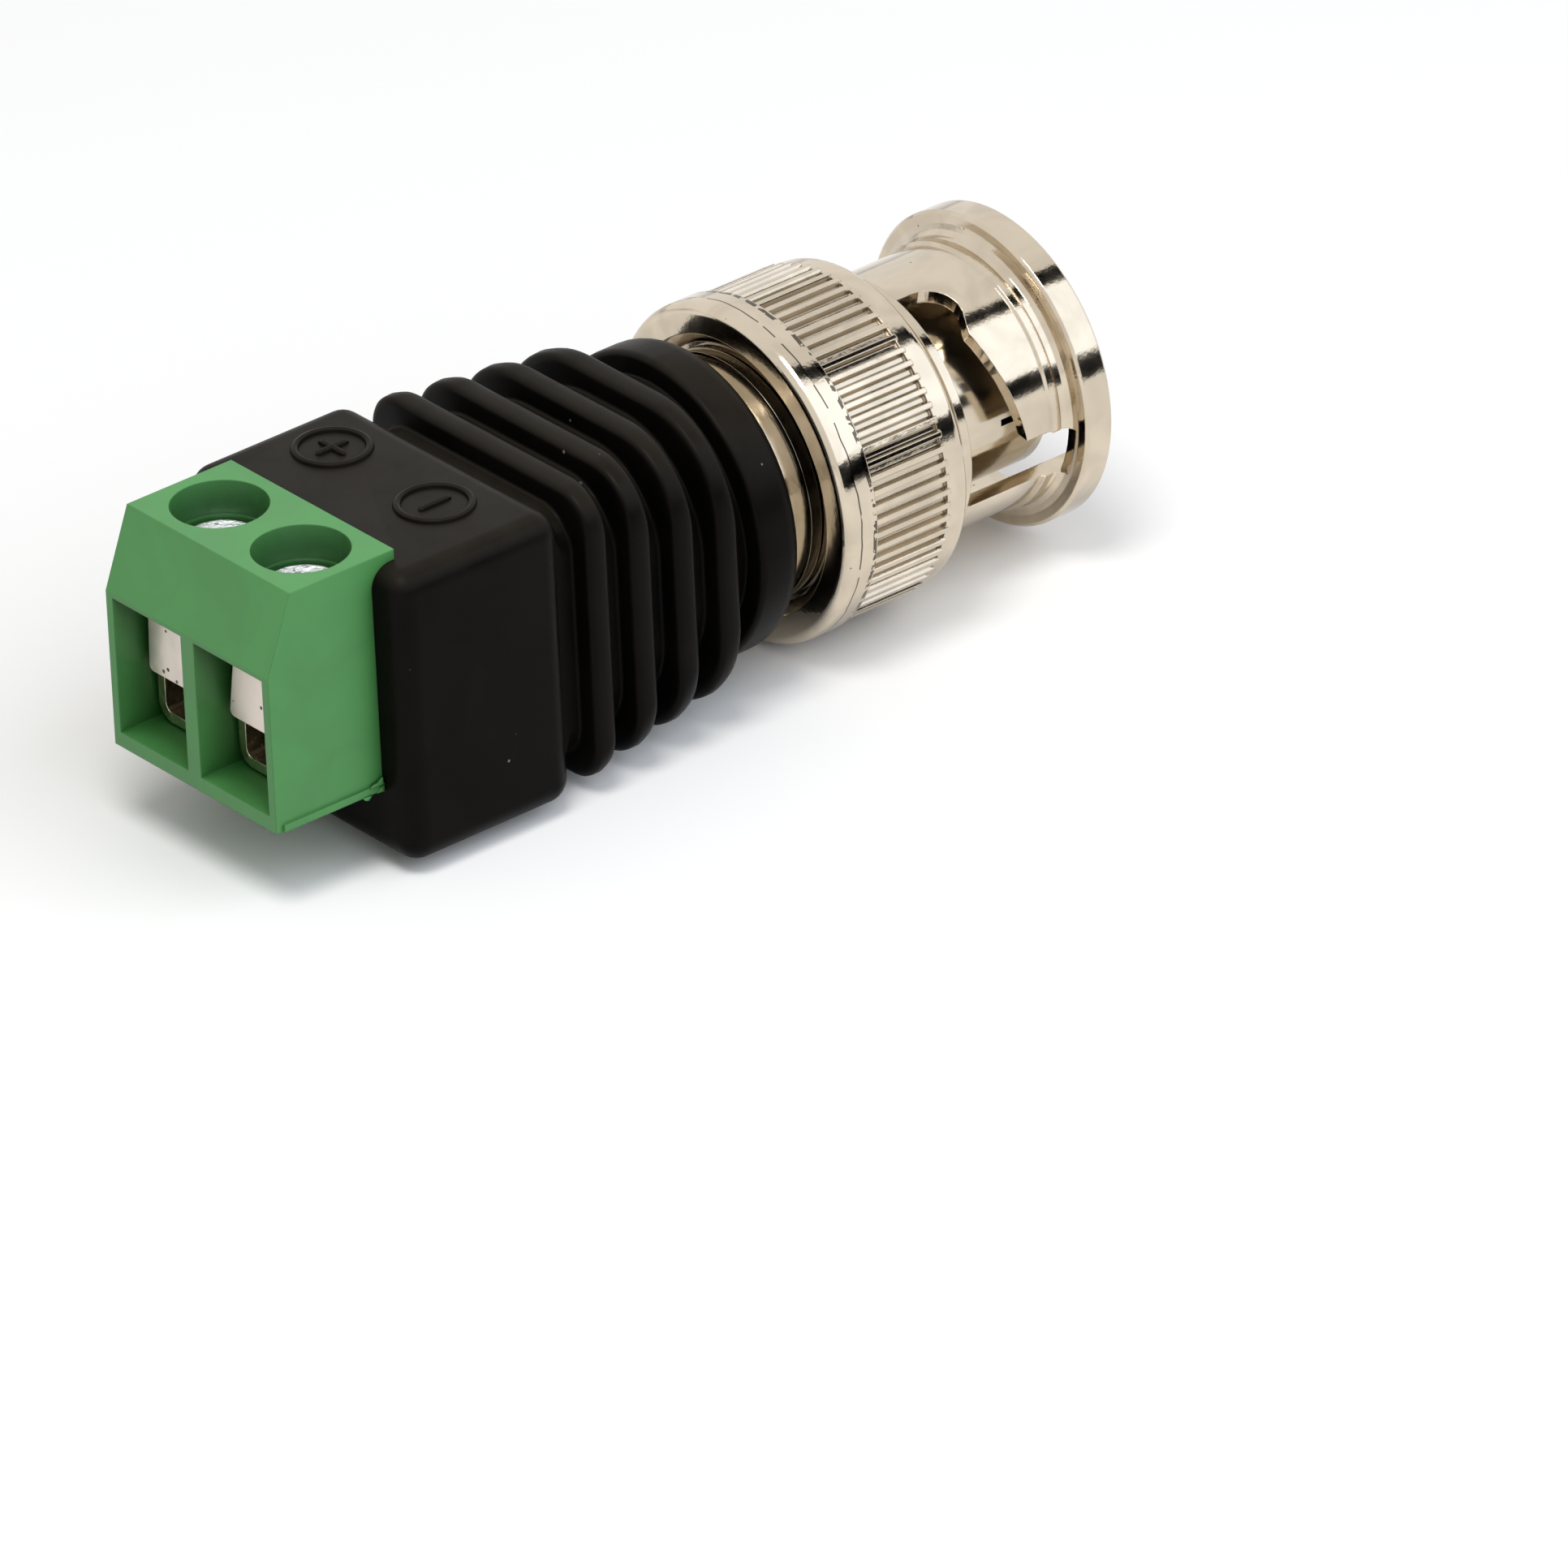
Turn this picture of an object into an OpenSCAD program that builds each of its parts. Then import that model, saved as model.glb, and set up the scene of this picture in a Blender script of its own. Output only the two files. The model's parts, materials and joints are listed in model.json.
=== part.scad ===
// Screw terminal to bayonet coaxial plug adapter.
// A two-way screw terminal block sits in the front of a moulded boot, two short leads run through
// the boot, and a coaxial plug with a bayonet coupling nut leaves the other end.
// The adapter lies along X: wires enter at the low end, the plug mates at the high end.
// The origin is below the middle of its length, on the surface that the coupling nut rests on.

/* [Terminal block] */
// Distance between the two wire positions
pitch = 5.08; // [4.6:0.02:5.6]
// Depth of the block from its wire face to its back
block_d = 6.5; // [6.45:0.05:9]
// Height of the block
block_h = 10.2; // [9.8:0.1:12]
// Distance from the block's underside up to the plug's axis
block_drop = 3.6; // [3.4:0.1:4.2]
// Height of the upright part of the wire face above the axis
face_h = 3.25; // [3.15:0.05:4.5]
// How far the sloped upper face leans back
slope_run = 1.3; // [0.6:0.1:1.7]
// Thickness of the wall between the two wire openings
mid_wall = 0.8; // [0.6:0.05:0.9]
// Thickness of the floor under the wire openings
floor_t = 0.65; // [0.4:0.05:0.8]
// Height of the wire openings
mouth_h = 6; // [5.8:0.1:6.2]
// Thickness of the block's back wall
back_wall = 0.45; // [0.35:0.05:0.5]
// Width of the moulded foot rib that stands proud along each side
foot_out = 0.12; // [0.05:0.01:0.3]
// Height of the foot rib
foot_h = 0.32; // [0.2:0.02:0.6]

/* [Clamp screws] */
// Distance of the screws from the wire face
screw_x = 3.9; // [3.8:0.05:3.95]
// Radius of the screwdriver holes in the block's top
access_r = 1.985; // [1.9:0.005:2.1]
// Radius of the screw head
head_r = 1.75; // [1.6:0.05:1.8]
// Height of the screw head
head_h = 1.2; // [1:0.05:1.3]
// Depth of the screw head's top below the block's top
head_sink = 1.5; // [1.3:0.05:1.7]
// Width of the driver slot
slot_w = 0.5; // [0.3:0.05:0.7]
// Depth of the driver slot
slot_d = 0.55; // [0.3:0.05:0.8]
// Radius of the screw's threaded shank
shank_r = 1.25; // [1.1:0.05:1.4]
// Radial clearance of the shank in the cage's threaded hole
thread_gap = 0.05; // [0.03:0.01:0.1]
// Radial clearance of the head in its seat
head_gap = 0.12; // [0.08:0.01:0.18]

/* [Rising cages] */
// Width of a cage across the wire opening
cage_w = 3.9; // [3.6:0.05:4]
// Length of a cage along the wire
cage_l = 4.15; // [3.9:0.05:4.2]
// Height of a cage
cage_h = 4.6; // [4.4:0.05:4.7]
// Thickness of the cage's strap
cage_t = 0.45; // [0.35:0.05:0.5]
// Thickness of the threaded top of the cage
cage_top_t = 1.4; // [1.2:0.05:1.5]
// Outer radius of the cage's two bottom corners
cage_corner_r = 0.8; // [0.5:0.05:1]
// Clearance under the cage when it is fully open
cage_gap = 0.1; // [0.05:0.01:0.15]

/* [Contact strips] */
// Thickness of the contact strip
strip_t = 0.5; // [0.4:0.02:0.55]
// Width of the strip's tongue inside the cage
tongue_w = 2.6; // [2.2:0.05:2.7]
// Width of the upturned lip in front of the cage
lip_w = 3.6; // [3:0.05:3.8]
// Height of the lip above the tongue
lip_h = 2.8; // [2.4:0.05:3]
// Thickness of the lip
lip_t = 0.35; // [0.3:0.01:0.4]
// Gap between the lip and the cage
lip_gap = 0.12; // [0.1:0.01:0.15]
// Length of the solder tail behind the block
tail_l = 2.9; // [2.2:0.1:3.6]
// Width of the solder tail
tail_w = 1.4; // [1.2:0.05:2]

/* [Boot] */
// Length of the block's back that the boot's walls grip
pocket_d = 1.2; // [0.8:0.05:1.8]
// Thickness of the boot's side walls beside the block
boot_side = 1.7; // [1.2:0.05:2.2]
// Thickness of the boot below the block
boot_floor = 3.08; // [2.6:0.02:3.4]
// How far the boot's top lies below the block's top
boot_step = 0.44; // [0.3:0.02:0.8]
// Length of the boot's square section
boot_l = 8.3; // [7.9:0.1:10]
// Rounding of the square section's edges
boot_r = 0.85; // [0.6:0.05:1]
// Number of ribs behind the square section
rib_n = 4; // [3:1:4]
// Distance from one rib to the next
rib_pitch = 2.21; // [2:0.01:2.4]
// Thickness of a rib
rib_t = 1.1; // [0.9:0.02:1.3]
// Depth of the grooves between the ribs
groove_d = 0.95; // [0.8:0.05:1.1]
// Extra rounding of the core's corners at each groove nearer to the cuff
core_round = 0.15; // [0.05:0.05:0.2]
// Rounding of the ribs' edges
rib_edge = 0.3; // [0.15:0.01:0.4]
// Corner radius of the first rib
rib_r_first = 1.8; // [1.5:0.1:2.5]
// Corner radius of the last rib
rib_r_last = 4.2; // [3.5:0.1:5]
// Length of the round end of the boot
cuff_l = 2.3; // [2:0.05:3]
// Radius of the round end of the boot
cuff_r = 6.6; // [6.3:0.05:6.8]
// Radius of the boot's end face
cuff_end_r = 5.6; // [5.4:0.05:5.8]
// Outer radius of the raised rings around the polarity signs
mark_r = 1.62; // [1.4:0.02:1.7]
// Width of the raised rings and signs
mark_w = 0.26; // [0.2:0.01:0.4]
// Share of the ring's inner width that a sign takes
mark_share = 0.62; // [0.4:0.02:0.8]
// Height of the raised rings and signs
mark_h = 0.16; // [0.1:0.01:0.25]
// Distance of the signs behind the block's back
mark_back = 3.95; // [3:0.05:4.8]
// Distance between the two signs
mark_pitch = 6.4; // [5.5:0.05:6.8]
// Shift of the two signs towards the plus side
mark_shift = 0.5; // [0:0.05:0.7]
// Clearance between the moulding and the parts inside it
mould_gap = 0.02; // [0.01:0.01:0.05]

/* [Leads] */
// Radius over a lead's insulation
lead_r = 0.8; // [0.7:0.02:0.95]
// Radius of a lead's stripped end
wire_r = 0.4; // [0.3:0.01:0.42]
// Length of each stripped end
strip_l = 1.4; // [1:0.05:1.8]

/* [Plug body] */
// Radius of the outer contact, which enters the mating socket
contact_r = 4.05; // [4:0.005:4.1]
// Radius of the bore through the plug body
bore_r = 2.8; // [2.6:0.05:3]
// Distance of the outer contact's tip behind the nut's front face
contact_back = 1.05; // [0.8:0.05:1.3]
// Number of slots in the outer contact
contact_slots = 4; // [4:1:6]
// Width of a slot in the outer contact
contact_slot_w = 0.3; // [0.2:0.02:0.4]
// Length of the slots in the outer contact
contact_slot_l = 2.55; // [2:0.05:3.5]
// Bevel inside the outer contact's tip
contact_bevel = 0.25; // [0.1:0.05:0.4]
// Radius of the flange inside the coupling nut
flange_r = 4.9; // [4.85:0.005:4.92]
// Thickness of the flange inside the coupling nut
flange_t = 1.2; // [0.9:0.05:1.4]
// Radius of the journal that the coupling nut turns on
journal_r = 4.3; // [4.2:0.02:4.35]
// Radius of the knurled spigot inside the boot
spigot_r = 3.6; // [3.5:0.05:3.7]
// Length of the spigot inside the boot
spigot_l = 6.4; // [5.8:0.1:7]
// Number of grooves that hold the spigot in the boot
spigot_grooves = 3; // [2:1:3]
// Radius of the spigot's bore, which holds the rear insulator
spigot_bore_r = 2.1; // [1.9:0.05:2.3]
// Radius of the retaining collar behind the coupling nut
collar_r = 5.3; // [5.2:0.02:5.35]
// Length of the retaining collar
collar_l = 1.96; // [1.7:0.02:2.2]
// Outer radius of the gasket
gasket_r = 4.85; // [4.8:0.01:4.88]
// Radius of the outer contact's foot, which the sealing gasket sits on
gasket_seat_r = 4.4; // [4.36:0.01:4.44]
// Thickness of the gasket
gasket_t = 0.8; // [0.6:0.05:1]

/* [Centre contact] */
// Radius of the centre pin's tip
pin_r = 0.675; // [0.65:0.005:0.7]
// Radius of the centre pin's stem inside the insulators
pin_stem_r = 0.95; // [0.85:0.05:1.1]
// Radius of the collar that the two insulators trap
pin_collar_r = 1.3; // [1.2:0.05:1.5]
// Length of that collar
pin_collar_l = 1; // [0.8:0.05:1.4]
// Distance from the front insulator's face to the pin's tip
pin_out = 1.1; // [0.8:0.05:1.5]
// Distance of the front insulator's face behind the outer contact's tip
insulator_back = 0.85; // [0.5:0.05:1.5]
// Length of the rear insulator
rear_insulator_l = 5; // [4:0.1:5.6]
// Clearance around the stripped end in the pin's solder cup
cup_gap = 0.05; // [0.02:0.01:0.1]

/* [Coupling nut] */
// Overall length of the coupling nut
nut_l = 14.32; // [14:0.02:14.6]
// Length of the nut's nose, in front of the shoulder of its front band
nose_l = 7.71; // [7.6:0.01:7.9]
// Radius of the nut's rear band, its largest
nut_band_r = 7.24; // [7.15:0.01:7.4]
// Radius across the knurl's ribs
knurl_r = 7.1; // [7:0.01:7.12]
// Number of knurl ribs
knurl_n = 72; // [60:1:80]
// Depth of the knurl
knurl_d = 0.24; // [0.15:0.01:0.3]
// Distance of the knurl from the nut's rear face
knurl_back = 1.69; // [1.6:0.01:1.8]
// Radius of the plain band in front of the knurl
nut_front_r = 7.02; // [6.9:0.01:7.1]
// Length of that band, with its rounded edge
nut_front_l = 1.2; // [1.1:0.02:1.3]
// Radius of the bayonet sleeve
sleeve_r = 5.6; // [5.5:0.01:5.7]
// Radius of the nut's bore over the sockets that it couples to
nut_bore_r = 5; // [4.96:0.01:5.05]
// Radius of the flange at the nut's front
rim_r = 6.73; // [6.5:0.01:6.9]
// Thickness of the flange at the nut's front
rim_t = 1.38; // [1.2:0.02:1.6]
// Bevel at the mouth of the nut's bore
mouth_bevel = 0.52; // [0.4:0.02:0.6]
// Thickness of the nut's inner lip
lip_thick = 0.9; // [0.8:0.02:1]
// Depth of the coned recess in the nut's rear face
recess_d = 0.5; // [0.4:0.02:0.6]
// Radius of the recess at the nut's rear face
recess_r = 6; // [5.8:0.02:6.2]
// Radial clearance of the nut's lip on its journal
journal_gap = 0.06; // [0.03:0.01:0.09]
// Clearance between the nut and the retaining collar when released
stop_gap = 0.05; // [0.03:0.01:0.08]

/* [Bayonet windows] */
// Angle of the first entry's middle, from +Y towards +Z
entry_a = 195; // [180:1:210]
// Turn from the middle of a lug's entry to the middle of its seat
lock_turn = 78; // [70:1:82]
// Width of the entries that the socket's lugs slide in through
entry_w = 2.3; // [2.1:0.05:2.5]
// Distance of the windows' straight edge behind the nut's front face
window_back = 6.5; // [6.4:0.02:6.55]
// Distance of the ramp behind the front face, beside the seat
ramp_back = 5.05; // [4.9:0.02:5.2]
// Distance of the ramp behind the front face, at the entry
ramp_front = 3.55; // [3.4:0.02:3.7]
// Radius of the lug's seat
seat_r = 1.4; // [1.2:0.05:1.6]
// Distance of the seat's front behind the front face
seat_back = 4.32; // [4.2:0.02:4.5]
// Radius that the entry reaches inside the front flange
entry_r = 5.66; // [5.6:0.01:5.75]

/* [Spring washers] */
// Thickness of the thrust washer that turns against the nut's lip
thrust_t = 0.3; // [0.25:0.01:0.35]
// Thickness of the seat washer against the body flange
seat_t = 0.2; // [0.15:0.01:0.25]
// Thickness of the wave washer's strip
wave_t = 0.18; // [0.12:0.01:0.22]
// Number of waves in the wave washer
wave_n = 3; // [3:1:4]
// Free height of the wave washer in the nut
wave_h = 1; // [0.9:0.02:1.1]
// Clearance of the washers over the journal and inside the nut's bore
washer_gap = 0.08; // [0.05:0.01:0.1]

/* [Hidden] */

// How far a cutting shape runs past the face that it opens
past = 1;
// How far one shape sinks into another that it is one piece with
bond = 0.1;
// Smoothness of turned surfaces
turned_fn = 96;

// Stations along X, counted from the block's wire face, with the plug's axis at zero height
block_top = block_h - block_drop;
block_w = 2 * pitch;
chamber_w = pitch - mid_wall;
floor_z = floor_t - block_drop;
chamber_up = 0.3;
boot_x0 = block_d - pocket_d;
boot_x1 = boot_x0 + boot_l;
boot_half = block_w / 2 + boot_side;
boot_top = block_top - boot_step;
boot_bottom = -block_drop - boot_floor;
rib_x0 = boot_x1 + rib_pitch - rib_t;
cuff_x0 = rib_x0 + rib_n * rib_pitch;
cuff_x1 = cuff_x0 + cuff_l;
collar_x1 = cuff_x1 + collar_l;
lip_x0 = collar_x1 + stop_gap;
lip_x1 = lip_x0 + lip_thick;
nut_x0 = lip_x0 - recess_d;
nut_x1 = nut_x0 + nut_l;
knurl_x0 = nut_x0 + knurl_back;
shoulder_x = nut_x1 - nose_l;
knurl_x1 = shoulder_x - nut_front_l;
rim_x0 = nut_x1 - rim_t;
thrust_gap = 0.02;
insulator_gap = 0.01;
thrust_x0 = lip_x1 + thrust_gap;
wave_x0 = thrust_x0 + thrust_t;
seat_x0 = wave_x0 + wave_h;
flange_x0 = seat_x0 + seat_t;
flange_x1 = flange_x0 + flange_t;
contact_x1 = nut_x1 - contact_back;
// Angle of the contact's first slot, from straight up
contact_turn = 1;
spigot_x0 = cuff_x1 - spigot_l;
insulator_step = 1.4;
insulator_x0 = cuff_x1 + insulator_step;
insulator_x1 = contact_x1 - insulator_back;
// Where the pin's hole in the insulator narrows to the stem
pin_step_x = insulator_x1 - 0.05;
washer_in_r = journal_r + washer_gap;
washer_out_r = nut_bore_r - washer_gap;

// Terminal parts
strip_x0 = screw_x - cage_l / 2 - lip_gap - lip_t;
tail_x1 = block_d + tail_l;
head_z1 = block_top - head_sink;
head_z0 = head_z1 - head_h;
cage_z0 = floor_z + cage_gap;
shank_end = 0.3;

// Leads: the stripped ends lie on the tails, so the leads run this far above the axis
lead_z = wire_r;
lead_y = pitch / 2;
lead_x0 = tail_x1 + 0.1;
cup_d = 1.6;
pin_x0 = spigot_x0 + 0.9;
sleeve_x1 = pin_x0 - 0.3;
lead_end = 0.9;

// The overall size sets the origin: middle of the length, and the rear band's lowest line
mid_x = nut_x1 / 2;
axis_z = nut_band_r;

// Puts a shape that is drawn on the plug's axis into the part's frame
module placed() {
    translate([-mid_x, 0, axis_z]) children();
}

// A solid turned about the plug's axis; points are [radius, station]
module turned(points) {
    rotate([0, 90, 0]) rotate_extrude($fn = turned_fn) polygon(points);
}

// A ring about the plug's axis
module ring(inner, outer, x0, x1) {
    turned([[inner, x0], [outer, x0], [outer, x1], [inner, x1]]);
}

// Points of a quarter round from angle a0 to a1, as [radius, station]
function quarter(r, x, size, a0, a1, steps = 6) =
    [for (i = [0:steps]) let (a = a0 + (a1 - a0) * i / steps) [r + size * cos(a), x + size * sin(a)]];

// A flat rounded rectangle, centred, drawn with true arcs
module rounded(w, h, r) {
    square([w - 2 * r, h], center = true);
    square([w, h - 2 * r], center = true);
    for (x = [-1, 1], y = [-1, 1])
        translate([x * (w / 2 - r), y * (h / 2 - r)]) circle(r);
}

// The block's outline from the side, with its sloped wire face
module block_side() {
    polygon([[0, -block_drop], [block_d, -block_drop], [block_d, block_top],
             [slope_run, block_top], [0, face_h]]);
}

// One wire position's hollows: mouth, chamber, screw seat, driver hole and slot for the tail
module wire_position() {
    translate([-past, -chamber_w / 2, floor_z]) cube([past + slope_run, chamber_w, mouth_h]);
    translate([slope_run - bond, -chamber_w / 2, floor_z])
        cube([block_d - back_wall - slope_run + bond, chamber_w, mouth_h + chamber_up]);
    translate([screw_x, 0, head_z0]) cylinder(h = head_h + bond, r = head_r + head_gap, $fn = 64);
    translate([screw_x, 0, head_z1]) cylinder(h = head_sink + past, r = access_r, $fn = 64);
    translate([screw_x, 0, floor_z + mouth_h])
        cylinder(h = head_z0 - floor_z - mouth_h + bond, r = shank_r + head_gap, $fn = 48);
    translate([block_d - back_wall - bond, -tail_w / 2, -strip_t])
        cube([back_wall + bond + past, tail_w, strip_t]);
}

module block_housing() {
    color("#5f9f62") placed() difference() {
        union() {
            translate([0, block_w / 2, 0]) rotate([90, 0, 0]) linear_extrude(block_w) block_side();
            translate([foot_h, -block_w / 2 - foot_out, -block_drop])
                cube([block_d - foot_h, block_w + 2 * foot_out, foot_h]);
        }
        for (side = [-1, 1]) translate([0, side * pitch / 2, 0]) wire_position();
    }
}

// A slotted pan-head screw; its head rests on the shelf under the driver hole
module terminal_screw(side) {
    edge = 0.35;
    tip = 0.2;
    color("#c9ccd2") placed() translate([screw_x, side * pitch / 2, 0]) difference() {
        rotate_extrude($fn = 64) polygon(concat(
            [[0, shank_end], [shank_r - tip, shank_end], [shank_r, shank_end + tip],
             [shank_r, head_z0], [head_r, head_z0]],
            quarter(head_r - edge, head_z1 - edge, edge, 0, 90),
            [[0, head_z1]]));
        translate([-head_r - past, -slot_w / 2, head_z1 - slot_d])
            cube([2 * (head_r + past), slot_w, slot_d + past]);
    }
}
module terminal_screw_plus() { terminal_screw(1); }
module terminal_screw_minus() { terminal_screw(-1); }

// The strap that rises to grip the wire, with its threaded top and rounded bottom corners
module clamp_cage(side) {
    inner_w = cage_w - 2 * cage_t;
    inner_r = cage_corner_r - cage_t;
    inner_h = cage_h - cage_t - cage_top_t;
    color("#b9b2a4") placed() translate([screw_x, side * pitch / 2, cage_z0]) difference() {
        translate([-cage_l / 2, 0, 0]) rotate([90, 0, 90]) linear_extrude(cage_l) difference() {
            union() {
                translate([0, cage_h / 2]) rounded(cage_w, cage_h, cage_corner_r, $fn = 48);
                translate([-cage_w / 2, cage_h / 2]) square([cage_w, cage_h / 2]);
            }
            translate([0, cage_t + inner_h / 2]) rounded(inner_w, inner_h, inner_r, $fn = 48);
        }
        translate([0, 0, cage_h - cage_top_t - past])
            cylinder(h = cage_top_t + 2 * past, r = shank_r + thread_gap, $fn = 48);
    }
}
module clamp_cage_plus() { clamp_cage(1); }
module clamp_cage_minus() { clamp_cage(-1); }

// The fixed strip that the wire is pressed against: upturned lip, tongue and solder tail
module contact_strip(side) {
    color("#d8cfc8") placed() translate([0, side * pitch / 2, 0]) {
        translate([strip_x0, -lip_w / 2, -strip_t]) cube([lip_t, lip_w, strip_t + lip_h]);
        translate([strip_x0, -tongue_w / 2, -strip_t])
            cube([block_d - back_wall - strip_x0, tongue_w, strip_t]);
        translate([strip_x0, -tail_w / 2, -strip_t]) cube([tail_x1 - strip_x0, tail_w, strip_t]);
    }
}
module contact_strip_plus() { contact_strip(1); }
module contact_strip_minus() { contact_strip(-1); }

// A straight rod along X
module rod(x0, x1, r) {
    translate([x0, 0, 0]) rotate([0, 90, 0]) cylinder(h = x1 - x0, r = r, $fn = 32);
}

// The plus lead's insulation, or the channel for it when grown by a gap; it slants over to the axis
module plus_sleeve(gap = 0) {
    run = [sleeve_x1 - lead_x0, -lead_y, -lead_z];
    translate([lead_x0, lead_y, lead_z]) rotate([0, acos(run[2] / norm(run)), atan2(run[1], run[0])])
        translate([0, 0, -gap]) cylinder(h = norm(run) + 2 * gap, r = lead_r + gap, $fn = 32);
}

// The minus lead's insulation, or the channel for it when grown by a gap and made longer
module minus_sleeve(gap = 0, longer = 0) {
    translate([0, -lead_y, lead_z]) rod(lead_x0 - gap, spigot_x0 - lead_end + longer, lead_r + gap);
}

module lead_plus() {
    color("firebrick") placed() {
        plus_sleeve();
        translate([0, lead_y, lead_z]) rod(lead_x0 - strip_l, lead_x0 + lead_r, wire_r);
        rod(sleeve_x1 - lead_r, pin_x0 + cup_d - 0.2, wire_r);
    }
}

module lead_minus() {
    color("#2b2b2b") placed() {
        minus_sleeve();
        translate([0, -lead_y, lead_z]) rod(lead_x0 - strip_l, lead_x0 + bond, wire_r);
        translate([0, -lead_y, lead_z]) rod(spigot_x0 - lead_end - bond, spigot_x0, wire_r);
    }
}

// The spigot's outline with its holding grooves, as [radius, station]
function spigot_side(gap) = let (step = spigot_l / (2 * spigot_grooves + 1)) concat(
    [[0, spigot_x0 - gap], [spigot_r + gap, spigot_x0 - gap]],
    [for (i = [0:spigot_grooves - 1], p = [[0, 1], [0.4, 1], [0.4, 2], [0, 2]])
        [spigot_r - p[0] + gap, spigot_x0 + (2 * i + p[1]) * step]],
    [[spigot_r + gap, cuff_x1]]);

// A share of the way from the square section to the round cuff, counted in ribs
function rib_share(i) = (i + 0.5) / (rib_n + 0.5);

// The rib outline's corner radius, half width, top and bottom, counted in ribs
function rib_corner(i) = rib_r_first + (rib_r_last - rib_r_first) * i / (rib_n - 1);
function rib_side(i) = boot_half + rib_share(i) * (cuff_r - boot_half);
function rib_top(i) = boot_top + rib_share(i) * (cuff_r - boot_top);
function rib_bottom(i) = boot_bottom + rib_share(i) * (-cuff_r - boot_bottom);

// A rib's rounded edge out to a half width, as [distance from the middle, station]
function rib_rim(half) = concat(
    quarter(half - rib_edge, rib_edge, rib_edge, -90, 0, 2),
    quarter(half - rib_edge, rib_t - rib_edge, rib_edge, 0, 90, 2));

// A bar across a rib, rounded along its two outer edges
module rib_bar(width, height) {
    rim = rib_rim(width / 2);
    last = len(rim) - 1;
    linear_extrude(height, center = true) polygon(concat(
        [for (k = [0:last]) [rim[k][1], rim[k][0]]],
        [for (k = [0:last]) [rim[last - k][1], -rim[last - k][0]]]));
}

// A rib: two crossed bars and four turned corners
module rib(i) {
    corner = rib_corner(i);
    width = 2 * rib_side(i);
    height = rib_top(i) - rib_bottom(i);
    translate([rib_x0 + i * rib_pitch, 0, (rib_top(i) + rib_bottom(i)) / 2]) {
        rib_bar(width, height - 2 * corner);
        rotate([90, 0, 0]) rib_bar(height, width - 2 * corner);
        for (y = [-1, 1], z = [-1, 1])
            translate([0, y * (width / 2 - corner), z * (height / 2 - corner)])
                turned(concat([[0, 0]], rib_rim(corner), [[0, rib_t]]));
    }
}

// The narrower core that shows between the ribs, one slab for each groove
module rib_core() {
    for (g = [0:rib_n]) {
        i = g - 0.5;
        translate([rib_x0 + (g - 1) * rib_pitch + rib_t / 2, 0, (rib_top(i) + rib_bottom(i)) / 2])
            rotate([90, 0, 90]) linear_extrude(rib_pitch)
                rounded(2 * (rib_side(i) - groove_d), rib_top(i) - rib_bottom(i) - 2 * groove_d,
                    rib_corner(i) + g * core_round, $fn = 48);
    }
}

// The square section, rounded along all its edges
module boot_square() {
    high = boot_top - boot_bottom;
    intersection() {
        translate([boot_x0, 0, (boot_top + boot_bottom) / 2]) rotate([90, 0, 90])
            linear_extrude(boot_l) rounded(2 * boot_half, high, boot_r, $fn = 48);
        translate([(boot_x0 + boot_x1) / 2, boot_half, (boot_top + boot_bottom) / 2]) rotate([90, 0, 0])
            linear_extrude(2 * boot_half) rounded(boot_l, high, boot_r, $fn = 48);
        translate([(boot_x0 + boot_x1) / 2, 0, boot_bottom])
            linear_extrude(high) rounded(boot_l, 2 * boot_half, boot_r, $fn = 48);
    }
}

// The raised rings with the polarity signs in them
module polarity_signs() {
    arm = 2 * (mark_r - mark_w) * mark_share;
    mark_x = block_d + mark_back;
    for (side = [-1, 1]) translate([mark_x, mark_shift + side * mark_pitch / 2, boot_top - bond]) {
        difference() {
            cylinder(h = mark_h + bond, r = mark_r, $fn = 48);
            translate([0, 0, -past]) cylinder(h = mark_h + bond + 2 * past, r = mark_r - mark_w, $fn = 48);
        }
        translate([-arm / 2, -mark_w / 2, 0]) cube([arm, mark_w, bond + mark_h]);
        if (side > 0) translate([-mark_w / 2, -arm / 2, 0]) cube([mark_w, arm, bond + mark_h]);
    }
}

module boot() {
    tail_room = 0.3;
    cuff_round = 0.95;
    color("#262320") placed() difference() {
        union() {
            boot_square();
            rib_core();
            for (i = [0:rib_n - 1]) rib(i);
            turned(concat(
                [[0, cuff_x0], [cuff_r - rib_edge, cuff_x0], [cuff_r, cuff_x0 + rib_edge]],
                [for (a = [0:15:90])
                    [cuff_end_r + (cuff_r - cuff_end_r) * cos(a), cuff_x1 - cuff_round * (1 - sin(a))]],
                [[0, cuff_x1]]));
            polarity_signs();
        }
        translate([boot_x0 - past, -block_w / 2 - mould_gap, -block_drop - mould_gap])
            cube([block_d - boot_x0 + past + mould_gap, block_w + 2 * mould_gap, block_h + past]);
        translate([boot_x0 - past, -block_w / 2 - foot_out - mould_gap, -block_drop - mould_gap])
            cube([block_d - boot_x0 + past + mould_gap, block_w + 2 * (foot_out + mould_gap),
                  foot_h + 2 * mould_gap]);
        for (side = [-1, 1])
            translate([block_d, side * lead_y - tail_w / 2 - mould_gap, -strip_t - mould_gap])
                cube([lead_x0 - block_d, tail_w + 2 * mould_gap, strip_t + 2 * wire_r + tail_room]);
        plus_sleeve(mould_gap);
        minus_sleeve(mould_gap, lead_end);
        turned(concat(
            spigot_side(mould_gap),
            [[spigot_r + mould_gap, cuff_x1 + past], [0, cuff_x1 + past]]));
    }
}

// The slots that let the outer contact spring
module contact_slot_cuts() {
    for (i = [0:contact_slots - 1]) rotate([contact_turn + i * 360 / contact_slots, 0, 0])
        translate([contact_x1 - contact_slot_l, -contact_slot_w / 2, bore_r / 2])
            cube([contact_slot_l + past, contact_slot_w, contact_r]);
}

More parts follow.
